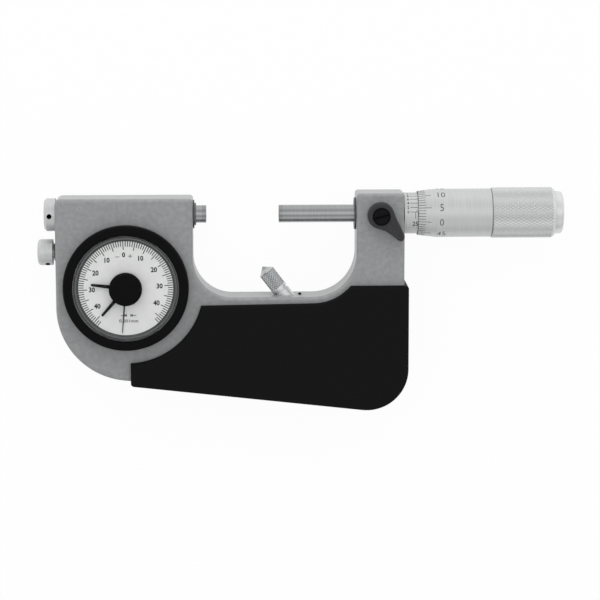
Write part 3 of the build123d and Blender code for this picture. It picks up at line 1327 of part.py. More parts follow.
def lock_pad():
    """The brass pad that the lock screw presses on the spindle, hollowed to fit it."""
    pad = rod_z(LOCK_X, 0, 0, LOCK_PAD_TOP_Z, LOCK_STUD_RADIUS)
    return pad - rod_x(ARM_INNER_X, ARM_OUTER_X, SPINDLE_RADIUS + RUNNING)


# Work stop
def work_stop():
    """The leaning stop that centres the work: cone tip, grip length, groove and plain shank."""
    cone = STOP_RADIUS / tan(radians(STOP_CONE_ANGLE / 2))
    profile = make_face(
        Polyline(
            (0, 0),
            (STOP_RADIUS, -cone),
            (STOP_RADIUS, -STOP_GROOVE_AT),
            (STOP_RADIUS - STOP_GROOVE_DEPTH, -STOP_GROOVE_AT - 0.15),
            (STOP_RADIUS - STOP_GROOVE_DEPTH, -STOP_GROOVE_AT - 0.75),
            (STOP_RADIUS, -STOP_GROOVE_AT - 0.9),
            (STOP_RADIUS, -STOP_LENGTH + 0.4),
            (STOP_RADIUS - 0.4, -STOP_LENGTH),
            (0, -STOP_LENGTH),
            close=True,
        )
    )
    return Pos(STOP_TIP_X, STOP_TIP_Y, 0) * Rot(0, 0, STOP_LEAN) * revolve(profile, Axis.Y, 360)


def stop_grub_screw():
    """The grub screw in the throat that holds the stop, with its hexagon socket."""
    length = GRUB_DEPTH - 0.6
    screw = Cylinder(GRUB_RADIUS, length)
    screw -= Pos(0, 0, length / 2) * extrude(RegularPolygon(0.5, 6), 0.8, both=True)
    screw = Pos(GRUB_X, THROAT_Y - 0.3 - length / 2, 0) * Rot(-90, 0, 0) * screw
    return screw - stop_bar(0, STOP_LENGTH, STOP_RADIUS + RUNNING)


GRIP_FACE_OUTLINE = grip_outline()

PIECES = {
    "frame": frame,
    "front_grip": lambda: front_grip(GRIP_FACE_OUTLINE),
    "rear_grip": lambda: rear_grip(GRIP_FACE_OUTLINE),
    "grip_screws": grip_screws,
    "anvil": anvil,
    "contact_pin": contact_pin,
    "anvil_tip": anvil_tip,
    "anvil_bush": anvil_bush,
    "wiper_ring": wiper_ring,
    "rear_bush": rear_bush,
    "anvil_spring": anvil_spring,
    "rear_cap": rear_cap,
    "button": button,
    "button_stem": button_stem,
    "button_bush": button_bush,
    "button_spring": button_spring,
    "retract_rocker": retract_rocker,
    "rocker_pin": rocker_pin,
    "sector_lever": sector_lever,
    "lever_contact": lever_contact,
    "lever_arbor": lever_arbor,
    "wheel": wheel,
    "wheel_pinion": wheel_pinion,
    "centre_pinion": centre_pinion,
    "hairspring": hairspring,
    "hairspring_collet": hairspring_collet,
    "hairspring_stud": hairspring_stud,
    "back_plate": back_plate,
    "front_plate": front_plate,
    "pillars": pillars,
    "plate_screws": plate_screws,
    "fixing_screws": fixing_screws,
    "back_cover": back_cover,
    "cover_screws": cover_screws,
    "bezel": bezel,
    "dial": dial,
    "dial_ring": dial_ring,
    "glass": glass,
    "needle": needle,
    "lower_limit_hand": lower_limit_hand,
    "lower_knob": lower_knob,
    "upper_limit_hand": upper_limit_hand,
    "upper_knob": upper_knob,
    "spindle_bush": spindle_bush,
    "sleeve": sleeve,
    "spindle_nut": spindle_nut,
    "adjusting_nut": adjusting_nut,
    "spindle": spindle,
    "spindle_tip": spindle_tip,
    "thimble": thimble,
    "thimble_grip": thimble_grip,
    "thimble_cap": thimble_cap,
    "thimble_screw": thimble_screw,
    "lock_lever": lock_lever,
    "lock_screw": lock_screw,
    "lock_washer": lock_washer,
    "lock_pad": lock_pad,
    "work_stop": work_stop,
    "stop_grub_screw": stop_grub_screw,
}

for name, make in PIECES.items():
    piece = make()
    export_step(piece, f"parts/{name}.step")
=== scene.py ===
import math

import bmesh
import bpy
from mathutils import Matrix, Vector


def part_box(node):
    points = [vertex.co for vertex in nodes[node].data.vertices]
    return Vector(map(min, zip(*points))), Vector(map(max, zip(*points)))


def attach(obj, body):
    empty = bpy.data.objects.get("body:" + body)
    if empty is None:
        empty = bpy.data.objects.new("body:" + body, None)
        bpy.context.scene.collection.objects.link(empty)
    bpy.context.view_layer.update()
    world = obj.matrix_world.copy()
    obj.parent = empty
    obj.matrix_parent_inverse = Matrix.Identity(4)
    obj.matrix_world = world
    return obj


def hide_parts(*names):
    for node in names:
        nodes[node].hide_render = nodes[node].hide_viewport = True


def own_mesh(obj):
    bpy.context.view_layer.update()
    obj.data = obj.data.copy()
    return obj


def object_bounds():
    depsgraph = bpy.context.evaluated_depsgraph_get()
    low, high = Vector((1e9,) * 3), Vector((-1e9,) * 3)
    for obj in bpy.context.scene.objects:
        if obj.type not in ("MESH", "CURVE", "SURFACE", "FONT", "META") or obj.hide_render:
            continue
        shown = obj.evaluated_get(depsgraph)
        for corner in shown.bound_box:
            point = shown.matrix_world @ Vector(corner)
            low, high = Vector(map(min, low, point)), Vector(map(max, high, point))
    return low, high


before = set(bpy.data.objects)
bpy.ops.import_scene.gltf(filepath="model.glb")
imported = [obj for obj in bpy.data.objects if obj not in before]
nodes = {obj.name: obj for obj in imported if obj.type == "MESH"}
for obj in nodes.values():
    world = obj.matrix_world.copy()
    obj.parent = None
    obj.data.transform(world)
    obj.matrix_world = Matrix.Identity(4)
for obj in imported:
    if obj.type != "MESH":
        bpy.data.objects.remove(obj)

solid_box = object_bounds()

# Camera: the photograph looks squarely at the dial from slightly above the measuring line.
# A long lens stands four fifths of a metre off, leaning nine degrees towards the top of the tool.
MM = 0.001
CAMERA_TARGET = Vector((33.7, -31.574, 0.0)) * MM
CAMERA_DISTANCE = 816.0 * MM
CAMERA_TILT = math.radians(8.986)
CAMERA_YAW = math.radians(-1.766)
CAMERA_ROLL = math.radians(-0.074)
LENS_PIXELS_PER_MM = 2.7578
PHOTO_PIXELS = 600
SENSOR = 36.0
CLIP_START = 10.0 * MM
CLIP_END = 20000.0 * MM

camera_data = bpy.data.cameras.new("camera")
camera = bpy.data.objects.new("camera", camera_data)
bpy.context.scene.collection.objects.link(camera)
towards_camera = Vector((
    math.sin(CAMERA_YAW) * math.cos(CAMERA_TILT),
    math.sin(CAMERA_TILT),
    math.cos(CAMERA_TILT) * math.cos(CAMERA_YAW),
)).normalized()
camera_right = Vector((0, 1, 0)).cross(towards_camera).normalized()
camera_up = towards_camera.cross(camera_right)
turned_right = math.cos(CAMERA_ROLL) * camera_right + math.sin(CAMERA_ROLL) * camera_up
turned_up = towards_camera.cross(turned_right)
camera_axes = Matrix((turned_right, turned_up, towards_camera)).transposed().to_4x4()
camera.matrix_world = Matrix.Translation(CAMERA_TARGET + towards_camera * CAMERA_DISTANCE) @ camera_axes
camera_data.sensor_width = SENSOR
camera_data.lens = SENSOR * LENS_PIXELS_PER_MM * CAMERA_DISTANCE / MM / PHOTO_PIXELS
camera_data.clip_start = CLIP_START
camera_data.clip_end = CLIP_END
bpy.context.scene.camera = camera

# Studio: a light tent with soft bands round the measuring axis, and one wide lamp over the top edge.
# Together they light an upright white card about as white as it is written.
TENT_LEVEL = 1.18
TENT_BANDS = (
    # angle from straight above the dial towards the top edge, in degrees, and how light the tent is there
    (-180, 0.30), (-140, 0.25), (-106, 0.26), (-78, 0.36), (-49, 0.80), (-22, 0.46), (8, 0.97),
    (42, 0.58), (74, 0.80), (102, 1.0), (140, 0.90), (180, 0.30),
)
TOP_LIGHT_PLACE = (0, 640, 300)
TOP_LIGHT_AIM = (30, -20, 0)
TOP_LIGHT_SIZE = (1100, 420)
TOP_LIGHT_POWER = 2.2

view = bpy.context.scene.view_settings
view.view_transform = "Standard"
world = bpy.data.worlds.new("light_tent")
bpy.context.scene.world = world
world.use_nodes = True
world.node_tree.nodes.clear()


def add(tree, kind, settings=(), **links):
    """Adds a node; settings go on the node or its sockets, and links join its sockets to others."""
    node = tree.nodes.new(kind)
    for key, value in dict(settings).items():
        if isinstance(key, str) and hasattr(node, key):
            setattr(node, key, value)
        else:
            node.inputs[key].default_value = value
    for key, source in links.items():
        socket = node.inputs[int(key[1:])] if key[0] == "_" else node.inputs[key.replace("_", " ")]
        tree.links.new(source, socket)
    return node


def linear(code, alpha=1.0):
    """Turns an sRGB hex colour such as 8A8D90 to Blender's linear colour."""
    channels = [int(code[i:i + 2], 16) / 255 for i in (0, 2, 4)]
    return [c / 12.92 if c <= 0.04045 else ((c + 0.055) / 1.055) ** 2.4 for c in channels] + [alpha]


sky = world.node_tree
seen = add(sky, "ShaderNodeLightPath")
direction = add(sky, "ShaderNodeTexCoord")
split = add(sky, "ShaderNodeSeparateXYZ", Vector=direction.outputs["Generated"])
angle = add(sky, "ShaderNodeMath", {"operation": "ARCTAN2"}, _0=split.outputs["Y"], _1=split.outputs["Z"])
turn = add(sky, "ShaderNodeMapRange", {"From Min": -math.pi, "From Max": math.pi}, Value=angle.outputs[0])
bands = add(sky, "ShaderNodeValToRGB", Fac=turn.outputs[0])
bands.color_ramp.interpolation = "CARDINAL"
while len(bands.color_ramp.elements) < len(TENT_BANDS):
    bands.color_ramp.elements.new(0.5)
for element, (degrees, light) in zip(bands.color_ramp.elements, TENT_BANDS):
    element.position = (degrees + 180) / 360
    element.color = (light, light, light, 1)
tent = add(sky, "ShaderNodeBackground", {"Strength": TENT_LEVEL}, Color=bands.outputs["Color"])
paper = add(sky, "ShaderNodeBackground", {"Color": linear("FFFFFF"), "Strength": 1.0})
pick = add(sky, "ShaderNodeMixShader", _0=seen.outputs["Is Camera Ray"], _1=tent.outputs[0],
           _2=paper.outputs[0])
add(sky, "ShaderNodeOutputWorld", Surface=pick.outputs[0])


def soft_light(name, place, aim, width, height, power):
    """A plain white lamp behind the tent's cloth, so that metal mirrors the tent alone; sizes in mm."""
    data = bpy.data.lights.new(name, "AREA")
    data.shape = "RECTANGLE"
    data.size, data.size_y, data.energy = width * MM, height * MM, power
    lamp_object = bpy.data.objects.new(name, data)
    bpy.context.scene.collection.objects.link(lamp_object)
    lamp_object.location = Vector(place) * MM
    lamp_object.rotation_euler = (Vector(place) - Vector(aim)).to_track_quat("Z", "Y").to_euler()
    lamp_object.visible_glossy = False


soft_light("top_light", TOP_LIGHT_PLACE, TOP_LIGHT_AIM, *TOP_LIGHT_SIZE, TOP_LIGHT_POWER)

# Floor: the white card under the tool, which keeps its shadow and is open from below.
# It shows the camera most of its own white so that it reads as the photograph's blank ground.
FLOOR_HALF = 1500
FLOOR_GAP = 0.05
FLOOR_OWN_WHITE = 0.95


def material(name, **sockets):
    """A named material with one Principled shader; words are its sockets, with _ for a space."""
    made = bpy.data.materials.new(name)
    made.use_nodes = True
    shader = made.node_tree.nodes["Principled BSDF"]
    for key, value in sockets.items():
        shader.inputs[key.replace("_", " ")].default_value = value
    return made, made.node_tree, shader


def mesh_piece(name, bm, finish, crease=30):
    """Turns a bmesh in metres to an object of one material, smooth but for edges sharper than crease."""
    mesh = bpy.data.meshes.new(name)
    bm.to_mesh(mesh)
    bm.free()
    mesh.materials.append(finish)
    mesh.shade_smooth()
    mesh.set_sharp_from_angle(angle=math.radians(crease))
    piece = bpy.data.objects.new(name, mesh)
    bpy.context.scene.collection.objects.link(piece)
    return piece


white_card, tree, shader = material("white_card", Base_Color=linear("F7F7F7"), Roughness=0.9)
path = add(tree, "ShaderNodeLightPath")
glow = add(tree, "ShaderNodeEmission", {"Color": linear("FFFFFF"), "Strength": 1.0})
seen_or_mirrored = add(tree, "ShaderNodeMath", {"operation": "MAXIMUM"}, _0=path.outputs["Is Camera Ray"],
                       _1=path.outputs["Is Glossy Ray"])
or_through = add(tree, "ShaderNodeMath", {"operation": "MAXIMUM"}, _0=seen_or_mirrored.outputs[0],
                 _1=path.outputs["Is Transmission Ray"])
share = add(tree, "ShaderNodeMath", {"operation": "MULTIPLY", 1: FLOOR_OWN_WHITE}, _0=or_through.outputs[0])
lit = add(tree, "ShaderNodeMixShader", _0=share.outputs[0], _1=shader.outputs[0], _2=glow.outputs[0])
side = add(tree, "ShaderNodeNewGeometry")
below = add(tree, "ShaderNodeBsdfTransparent")
both = add(tree, "ShaderNodeMixShader", _0=side.outputs["Backfacing"], _1=lit.outputs[0], _2=below.outputs[0])
tree.links.new(both.outputs[0], tree.nodes["Material Output"].inputs["Surface"])
bm = bmesh.new()
bmesh.ops.create_grid(bm, x_segments=1, y_segments=1, size=FLOOR_HALF * MM)
floor_z = solid_box[0].z - FLOOR_GAP * MM
bmesh.ops.translate(bm, vec=(0, 0, floor_z), verts=bm.verts)
floor = mesh_piece("floor", bm, white_card)

# Frame casting: cast iron, stoved with a grey hammer enamel after machining.
# The enamel flows into shallow mottles about 2 mm wide with a few dark specks.
MOTTLE_MM = 1.9
SPECK_MM = 0.8


def surface_noise(tree, size_mm, detail=3.0, rough=0.55, squeeze=(1, 1, 1)):
    """Noise on Object coordinates whose grain is size_mm wide."""
    where = add(tree, "ShaderNodeTexCoord")
    scaled = add(tree, "ShaderNodeMapping", {"Scale": [s / (size_mm * MM) for s in squeeze]},
                 Vector=where.outputs["Object"])
    return add(tree, "ShaderNodeTexNoise", {"Scale": 1.0, "Detail": detail, "Roughness": rough},
               Vector=scaled.outputs[0])


def blend_colours(tree, factor, dark, light, low=0.35, high=0.65):
    """Spreads a factor between two colours."""
    ramp = add(tree, "ShaderNodeValToRGB", Fac=factor)
    ramp.color_ramp.elements[0].position, ramp.color_ramp.elements[0].color = low, linear(dark)
    ramp.color_ramp.elements[1].position, ramp.color_ramp.elements[1].color = high, linear(light)
    return ramp


def bump(tree, shader, height, depth_mm, strength=1.0):
    """Raises the surface by height times depth_mm."""
    node = add(tree, "ShaderNodeBump", {"Strength": strength, "Distance": depth_mm * MM}, Height=height)
    tree.links.new(node.outputs[0], shader.inputs["Normal"])


def grained(name, dark, light, rough, grain_mm, bump_mm=0.0, detail=2.0, squeeze=(1, 1, 1), **sockets):
    """A finish whose colour and roughness drift between two values with one grain."""
    made, tree, shader = material(name, **sockets)
    grain = surface_noise(tree, grain_mm, detail=detail, rough=0.5, squeeze=squeeze)
    colour = blend_colours(tree, grain.outputs["Fac"], dark, light)
    gloss = add(tree, "ShaderNodeMapRange", {"To Min": rough[0], "To Max": rough[1]},
                Value=grain.outputs["Fac"])
    tree.links.new(colour.outputs["Color"], shader.inputs["Base Color"])
    tree.links.new(gloss.outputs[0], shader.inputs["Roughness"])
    if bump_mm:
        bump(tree, shader, grain.outputs["Fac"], depth_mm=bump_mm)
    return made


def finish_nodes(names, finish):
    """Gives CAD nodes their finish."""
    for name in names.split():
        for slot in nodes[name].material_slots:
            slot.material = finish


hammer_enamel, tree, shader = material("hammer_enamel", Specular_IOR_Level=0.4, Coat_Weight=0.18,
                                       Coat_Roughness=0.12)
mottle = surface_noise(tree, MOTTLE_MM, detail=4.0, rough=0.6)
tone = blend_colours(tree, mottle.outputs["Fac"], "8B8C8D", "969798", low=0.36, high=0.64)
speck = surface_noise(tree, SPECK_MM, detail=1.0, rough=0.5)
dots = add(tree, "ShaderNodeMapRange", {"From Min": 0.73, "From Max": 0.81}, Value=speck.outputs["Fac"])
dotted = add(tree, "ShaderNodeMix", {"data_type": "RGBA", 7: linear("7A7B7C")}, _0=dots.outputs[0],
             _6=tone.outputs[0])
gloss = add(tree, "ShaderNodeMapRange", {"To Min": 0.28, "To Max": 0.42}, Value=mottle.outputs["Fac"])
tree.links.new(dotted.outputs[2], shader.inputs["Base Color"])
tree.links.new(gloss.outputs[0], shader.inputs["Roughness"])
bump(tree, shader, mottle.outputs["Fac"], depth_mm=0.03, strength=0.5)
finish_nodes("frame back_cover", hammer_enamel)

# Hand grips: two black thermoplastic shells, spark-textured in the mould, screwed on from behind.
# The texture reads as an even matt black that greys a little at grazing angles.
moulded_black = grained("moulded_black_plastic", "0B0B0C", "101011", (0.55, 0.72), grain_mm=0.35,
                        bump_mm=0.02, Specular_IOR_Level=0.1)
finish_nodes("front_grip rear_grip", moulded_black)

# Measuring rods: anvil and spindle are ground and lapped tool steel.
# Grinding leaves fine rings round each rod, which stretch the highlights along it.
RING_MM = 0.12
GROUND_ROUND_X = (1, 0.02, 0.02)
ground_steel = grained("ground_tool_steel", "9FA0A1", "ABACAD", (0.16, 0.24), grain_mm=RING_MM,
                       squeeze=GROUND_ROUND_X, Metallic=1.0)
lapped_carbide = grained("lapped_carbide", "939495", "9D9E9F", (0.14, 0.22), grain_mm=0.6, Metallic=1.0)
finish_nodes("anvil spindle contact_pin button_stem", ground_steel)
finish_nodes("anvil_tip spindle_tip lever_contact", lapped_carbide)

# Anvil guide: a hardened bush pressed in the head, blued dark, with a steel wiper ring before it.
# The bluing is a thin dark oxide that keeps a soft metal sheen, and the ring's is rubbed paler.
blued_steel = grained("blued_steel", "505153", "5C5D5F", (0.34, 0.46), grain_mm=0.3, Metallic=0.8)
bright_steel = grained("turned_bright_steel", "A4A5A6", "B2B3B4", (0.28, 0.38), grain_mm=0.2, Metallic=1.0)
worn_bluing = grained("worn_blued_steel", "6C6D6F", "7C7D7F", (0.34, 0.46), grain_mm=0.3, Metallic=0.8)
finish_nodes("anvil_bush spindle_bush", blued_steel)
finish_nodes("wiper_ring", worn_bluing)
finish_nodes("lock_washer", bright_steel)

# Satin chrome: the sleeve, thimble, caps and button are chromed over a fine turned finish.
# The plating scatters light into an even pale grey with soft streaks round the axis.
TURNING_MM = 0.25
TURNED_ROUND_X = (1, 0.03, 0.03)
satin_chrome = grained("satin_chrome_plate", "CACBCB", "D4D5D5", (0.44, 0.52), grain_mm=TURNING_MM,
                       bump_mm=0.003, squeeze=TURNED_ROUND_X, Metallic=0.75)
cap_chrome = grained("polished_cap_chrome", "DADBDB", "E3E4E4", (0.36, 0.46), grain_mm=TURNING_MM,
                     bump_mm=0.003, squeeze=TURNED_ROUND_X, Metallic=0.75)
finish_nodes("sleeve thimble rear_cap button", satin_chrome)
finish_nodes("thimble_cap", cap_chrome)

# Spanner holes: each cap is drilled for a pin spanner, and the deep hole lies in shade.
# A thin black cup lines each hole as deep as the drill went, and its rolled lip rings the mouth: painted
# shade.
HOLE_RADIUS = 0.74
HOLE_LIP_RADIUS = 0.9
HOLE_DEPTH = 1.3
LIP_HEIGHT = 0.05
CUP_WALL = 0.1
CUP_STEPS = 24


def turned(profile, steps, place=None):
    """Spins a closed outline of (along, radius) points in mm round X, then puts it in its place."""
    bm = bmesh.new()
    ring = [bm.verts.new((along * MM, 0, radius * MM)) for along, radius in profile]
    edges = [bm.edges.new(pair) for pair in zip(ring, ring[1:] + ring[:1])]
    bmesh.ops.spin(bm, geom=ring + edges, cent=(0, 0, 0), axis=(1, 0, 0), angle=2 * math.pi, steps=steps,
                   use_merge=True)
    bmesh.ops.remove_doubles(bm, verts=bm.verts, dist=0.0005 * MM)
    bmesh.ops.recalc_face_normals(bm, faces=bm.faces)
    if place:
        bmesh.ops.transform(bm, matrix=place, verts=bm.verts)
    return bm


def along_line(point_mm, towards):
    """The place of a turned piece whose X axis starts at a point and runs in a direction."""
    turn = Vector(towards).to_track_quat("X", "Z").to_matrix().to_4x4()
    return Matrix.Translation(Vector(point_mm) * MM) @ turn


# Matt black: painted shade in the spanner holes and in the lock screw's gap and slot, and the grub screw's
# own black oxide.
shade_and_oxide_black = grained("painted_shade_and_black_oxide", "050505", "090909", (0.7, 0.9), grain_mm=0.3,
                      Specular_IOR_Level=0.1)
hole_shade_cup = [
    (LIP_HEIGHT, HOLE_RADIUS - CUP_WALL), (LIP_HEIGHT, HOLE_LIP_RADIUS), (0.0, HOLE_LIP_RADIUS),
    (-LIP_HEIGHT, HOLE_RADIUS), (-HOLE_DEPTH, HOLE_RADIUS), (-HOLE_DEPTH, 0), (CUP_WALL - HOLE_DEPTH, 0),
    (CUP_WALL - HOLE_DEPTH, HOLE_RADIUS - CUP_WALL),
]
CAP_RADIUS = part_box("rear_cap")[1].z / MM
CAP_HOLE_X = -56.0
on_cap = along_line((CAP_HOLE_X, 0, CAP_RADIUS), (0, 0, 1))
rear_hole_shade = mesh_piece("rear_cap_hole_shade", turned(hole_shade_cup, CUP_STEPS, on_cap), shade_and_oxide_black)
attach(rear_hole_shade, "frame_body")
button_low, button_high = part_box("button")
BUTTON_RADIUS = button_high.z / MM
BUTTON_HOLE_X = -57.0
BUTTON_HOLE_TURN = math.radians(60)
button_y = (button_low.y + button_high.y) / 2 / MM
out_of_button = Vector((0, -math.sin(BUTTON_HOLE_TURN), math.cos(BUTTON_HOLE_TURN)))
hole_mouth = Vector((BUTTON_HOLE_X, button_y, 0)) + out_of_button * BUTTON_RADIUS
on_button = along_line(hole_mouth, out_of_button)
button_hole_shade = mesh_piece("button_hole_shade", turned(hole_shade_cup, CUP_STEPS, on_button), shade_and_oxide_black)
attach(button_hole_shade, "button_body")

# Movement: brass plates, wheel and toothed lever with steel arbors, pinions and a hairspring.
# The brass is fine-turned and lightly lacquered, and the springs are bright wire and strip.
clock_brass = grained("lacquered_clock_brass", "B08D4A", "BE9A55", (0.28, 0.38), grain_mm=0.2, Metallic=1.0)
spring_wire = grained("bright_spring_wire", "8E9092", "9C9EA0", (0.2, 0.3), grain_mm=0.1, Metallic=1.0)
finish_nodes("rear_bush button_bush sector_lever wheel hairspring_collet hairspring_stud", clock_brass)
finish_nodes("back_plate front_plate pillars lock_pad", clock_brass)
finish_nodes("anvil_spring button_spring hairspring", spring_wire)
finish_nodes("retract_rocker rocker_pin lever_arbor wheel_pinion centre_pinion", bright_steel)
finish_nodes("plate_screws fixing_screws cover_screws grip_screws", bright_steel)
finish_nodes("spindle_nut adjusting_nut thimble_screw", bright_steel)

# Coil springs: one behind the retraction button and one behind the anvil, wound of bright wire.
# Each rests on its seat in the frame; the travel of the piece that presses it is listed here but not used.
BUTTON_TRAVEL = 0.915
ANVIL_TRAVEL = 0.12
for spring, joint, travel in (("button_spring", "button_press", BUTTON_TRAVEL),
                              ("anvil_spring", "anvil_travel", ANVIL_TRAVEL)):
    low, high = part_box(spring)
    bm = bmesh.new()
    bm.from_mesh(nodes[spring].data)
    bmesh.ops.remove_doubles(bm, verts=bm.verts, dist=0.001 * MM)
    coil = mesh_piece(spring + "_coil", bm, spring_wire, crease=60)
    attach(coil, "frame_body")
    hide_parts(spring)
    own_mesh(coil)

# Bezel: turned aluminium, black anodised, that turns the dial in the head.
# The anodising is a dead black with only a faint sheen from the turned rings.
black_anodised = grained("black_anodised_aluminium", "060606", "0B0B0B", (0.42, 0.55), grain_mm=0.4,
                         Specular_IOR_Level=0.07)
finish_nodes("bezel", black_anodised)

# Dial: aluminium sheet in white enamel, printed in black with divisions of a micrometre each way.
# The printing stands a few hundredths of a millimetre proud, as silk-screened ink does.
PRINT_PROUD = 0.02
TICK_DEGREES = 2.975
ZERO_DEGREES = 3.0
DIVISIONS = 47
TICK_OUTER = 16.95
TICK_SHORT = 1.9
TICK_LONG = 3.1
TICK_WIDTH = 0.29
FIGURE_RADIUS = 12.1
FIGURE_HEIGHT = 1.9
SIGN_RADIUS = 11.7
SIGN_DEGREES = 11.2
SIGN_LENGTH = 1.5
SIGN_WIDTH = 0.2
UNIT_OFFSET = 0.9
UNIT_Y = -11.8
UNIT_HEIGHT = 1.15
UNIT_WIDTH = 6.8
ARROW_Y = -9.8
ARROW_GAP = 0.75
ARROW_BAR = 0.55
ARROW_SHAFT = 2.0
ARROW_POINT = 0.1
ARROW_BARB = (0.8, 0.4)
LONG_TICK_EVERY = 5
FIGURE_EVERY = 10
LAST_FIGURE = 40
FIGURE_NARROWING = 0.92


def stroke(bm, start, end, width, height=0.0):
    """A thin flat bar of ink between two points of a flat drawing in mm."""
    start, end = Vector(start), Vector(end)
    run = end - start
    turn = Matrix.Rotation(math.atan2(run.y, run.x), 4, "Z")
    middle = (start + end) / 2 * MM
    size = Matrix.Diagonal((run.length * MM, width * MM, 2 * PRINT_PROUD * MM, 1))
    place = Matrix.Translation((middle.x, middle.y, height * MM))
    bmesh.ops.create_cube(bm, size=1.0, matrix=place @ turn @ size)


def lettering(bm, text, centre, height, width=None, weight=0.0):
    """Upright figures of a flat drawing, made a mesh, then sized and centred in mm."""
    curve = bpy.data.curves.new("figures", "FONT")
    curve.body = text
    curve.resolution_u = 2
    curve.offset = weight
    curve.extrude = 0.5
    holder = bpy.data.objects.new("figures", curve)
    mesh = bpy.data.meshes.new_from_object(holder)
    low = Vector([min(v.co[i] for v in mesh.vertices) for i in range(3)])
    high = Vector([max(v.co[i] for v in mesh.vertices) for i in range(3)])
    rise = height / (high.y - low.y)
    spread = width / (high.x - low.x) if width else rise * FIGURE_NARROWING
    mesh.transform(Matrix.Translation(-(low + high) / 2))
    mesh.transform(Matrix.Diagonal((spread * MM, rise * MM, 2 * PRINT_PROUD * MM, 1)))
    mesh.transform(Matrix.Translation((centre[0] * MM, centre[1] * MM, 0)))
    bm.from_mesh(mesh)
    bpy.data.objects.remove(holder)
    bpy.data.curves.remove(curve)
    bpy.data.meshes.remove(mesh)


def on_dial(radius, degrees):
    """A point of the dial's drawing, turned from its top towards the right."""
    turn = math.radians(degrees - ZERO_DEGREES)
    return Vector((radius * math.sin(turn), radius * math.cos(turn)))


white_enamel = grained("white_dial_enamel", "E3E3E2", "E7E7E6", (0.4, 0.5), grain_mm=3.0)
finish_nodes("dial", white_enamel)
print_black = grained("silk_screen_black", "060606", "0C0C0C", (0.5, 0.6), grain_mm=0.3,
                      Specular_IOR_Level=0.1)
dial_low, dial_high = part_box("dial")
dial_centre = (dial_low + dial_high) / 2
dial_top = Matrix.Translation((dial_centre.x, dial_centre.y, dial_high.z))
bm = bmesh.new()
for division in range(-DIVISIONS, DIVISIONS + 1):
    length = TICK_SHORT if division % LONG_TICK_EVERY else TICK_LONG
    degrees = division * TICK_DEGREES
    stroke(bm, on_dial(TICK_OUTER, degrees), on_dial(TICK_OUTER - length, degrees), TICK_WIDTH)
for value in range(-LAST_FIGURE, LAST_FIGURE + 1, FIGURE_EVERY):
    lettering(bm, str(abs(value)), on_dial(FIGURE_RADIUS, value * TICK_DEGREES), FIGURE_HEIGHT, weight=0.035)
minus = on_dial(SIGN_RADIUS, -SIGN_DEGREES)
plus = on_dial(SIGN_RADIUS, SIGN_DEGREES)
across = Vector((SIGN_LENGTH / 2, 0))
upward = Vector((0, SIGN_LENGTH / 2))
stroke(bm, minus - across, minus + across, SIGN_WIDTH)
stroke(bm, plus - across, plus + across, SIGN_WIDTH)
stroke(bm, plus - upward, plus + upward, SIGN_WIDTH)
for side in (-1, 1):
    tip = Vector((UNIT_OFFSET + side * ARROW_GAP, ARROW_Y))
    stroke(bm, tip - Vector((0, ARROW_BAR)), tip + Vector((0, ARROW_BAR)), SIGN_WIDTH)
    stroke(bm, tip, tip + Vector((side * ARROW_SHAFT, 0)), SIGN_WIDTH)
    for lean in (-1, 1):
        barb = Vector((side * ARROW_BARB[0], lean * ARROW_BARB[1]))
        stroke(bm, tip + Vector((side * ARROW_POINT, 0)), tip + barb, SIGN_WIDTH)
lettering(bm, "0.001mm", (UNIT_OFFSET, UNIT_Y), UNIT_HEIGHT, width=UNIT_WIDTH, weight=0.01)
bmesh.ops.transform(bm, matrix=dial_top, verts=bm.verts)
dial_print = mesh_piece("dial_print", bm, print_black)
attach(dial_print, "bezel_body")

# Dial ring: a turned aluminium step ring that holds the dial's edge and frames its scale.
# Its cones are dull dark grey; its flats that face up, the ledge and the top rim, are glossier and painted
# lighter grey as a painted highlight.
RING_OUTLINE = [
    # heights above the middle of the tool's thickness and radii, in mm
    (9.2, 16.95), (9.75, 17.65), (9.8, 17.72), (9.8, 18.2), (9.85, 18.25), (10.55, 18.72),
    (10.6, 18.78), (10.6, 19.0), (9.2, 19.0),
]
RING_STEPS = 128
LEVEL_NORMAL = 0.95
upright = Matrix.Translation((dial_centre.x, dial_centre.y, 0)) @ Matrix.Rotation(-math.pi / 2, 4, "Y")
dull_grey = grained("dull_anodised_grey", "3D3E3F", "474849", (0.4, 0.5), grain_mm=0.3, Metallic=0.3)
flats_painted_highlight = grained("ring_flats_painted_highlight", "5E5F60", "6A6B6C", (0.3, 0.4), grain_mm=0.3, Metallic=0.6)
step_ring = mesh_piece("dial_step_ring", turned(RING_OUTLINE, RING_STEPS, upright), dull_grey)
step_ring.data.materials.append(flats_painted_highlight)
# Faces that look up take the lighter grey: a painted highlight.
for face in step_ring.data.polygons:
    face.material_index = 1 if face.normal.z > LEVEL_NORMAL else 0
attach(step_ring, "bezel_body")
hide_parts("dial_ring")

# Needle and limit hands: blanked from spring brass and lacquered black.
# The lacquer is thin and half matt, so the hands read as flat black strokes.
hand_lacquer = grained("black_hand_lacquer", "050505", "0A0A0A", (0.45, 0.55), grain_mm=0.4,
                       Specular_IOR_Level=0.05)
finish_nodes("needle lower_limit_hand upper_limit_hand", hand_lacquer)

# Limit knobs: two black anodised aluminium discs above the glass, one on the other.
# Their rims are milled with forty-eight round teeth for the fingertip.
KNOB_TEETH = 48
TOOTH_DEPTH = 0.16
TEETH_PROUD = 0.04
TOOTH_ZONE = 0.3
KNOB_WALL = 0.5
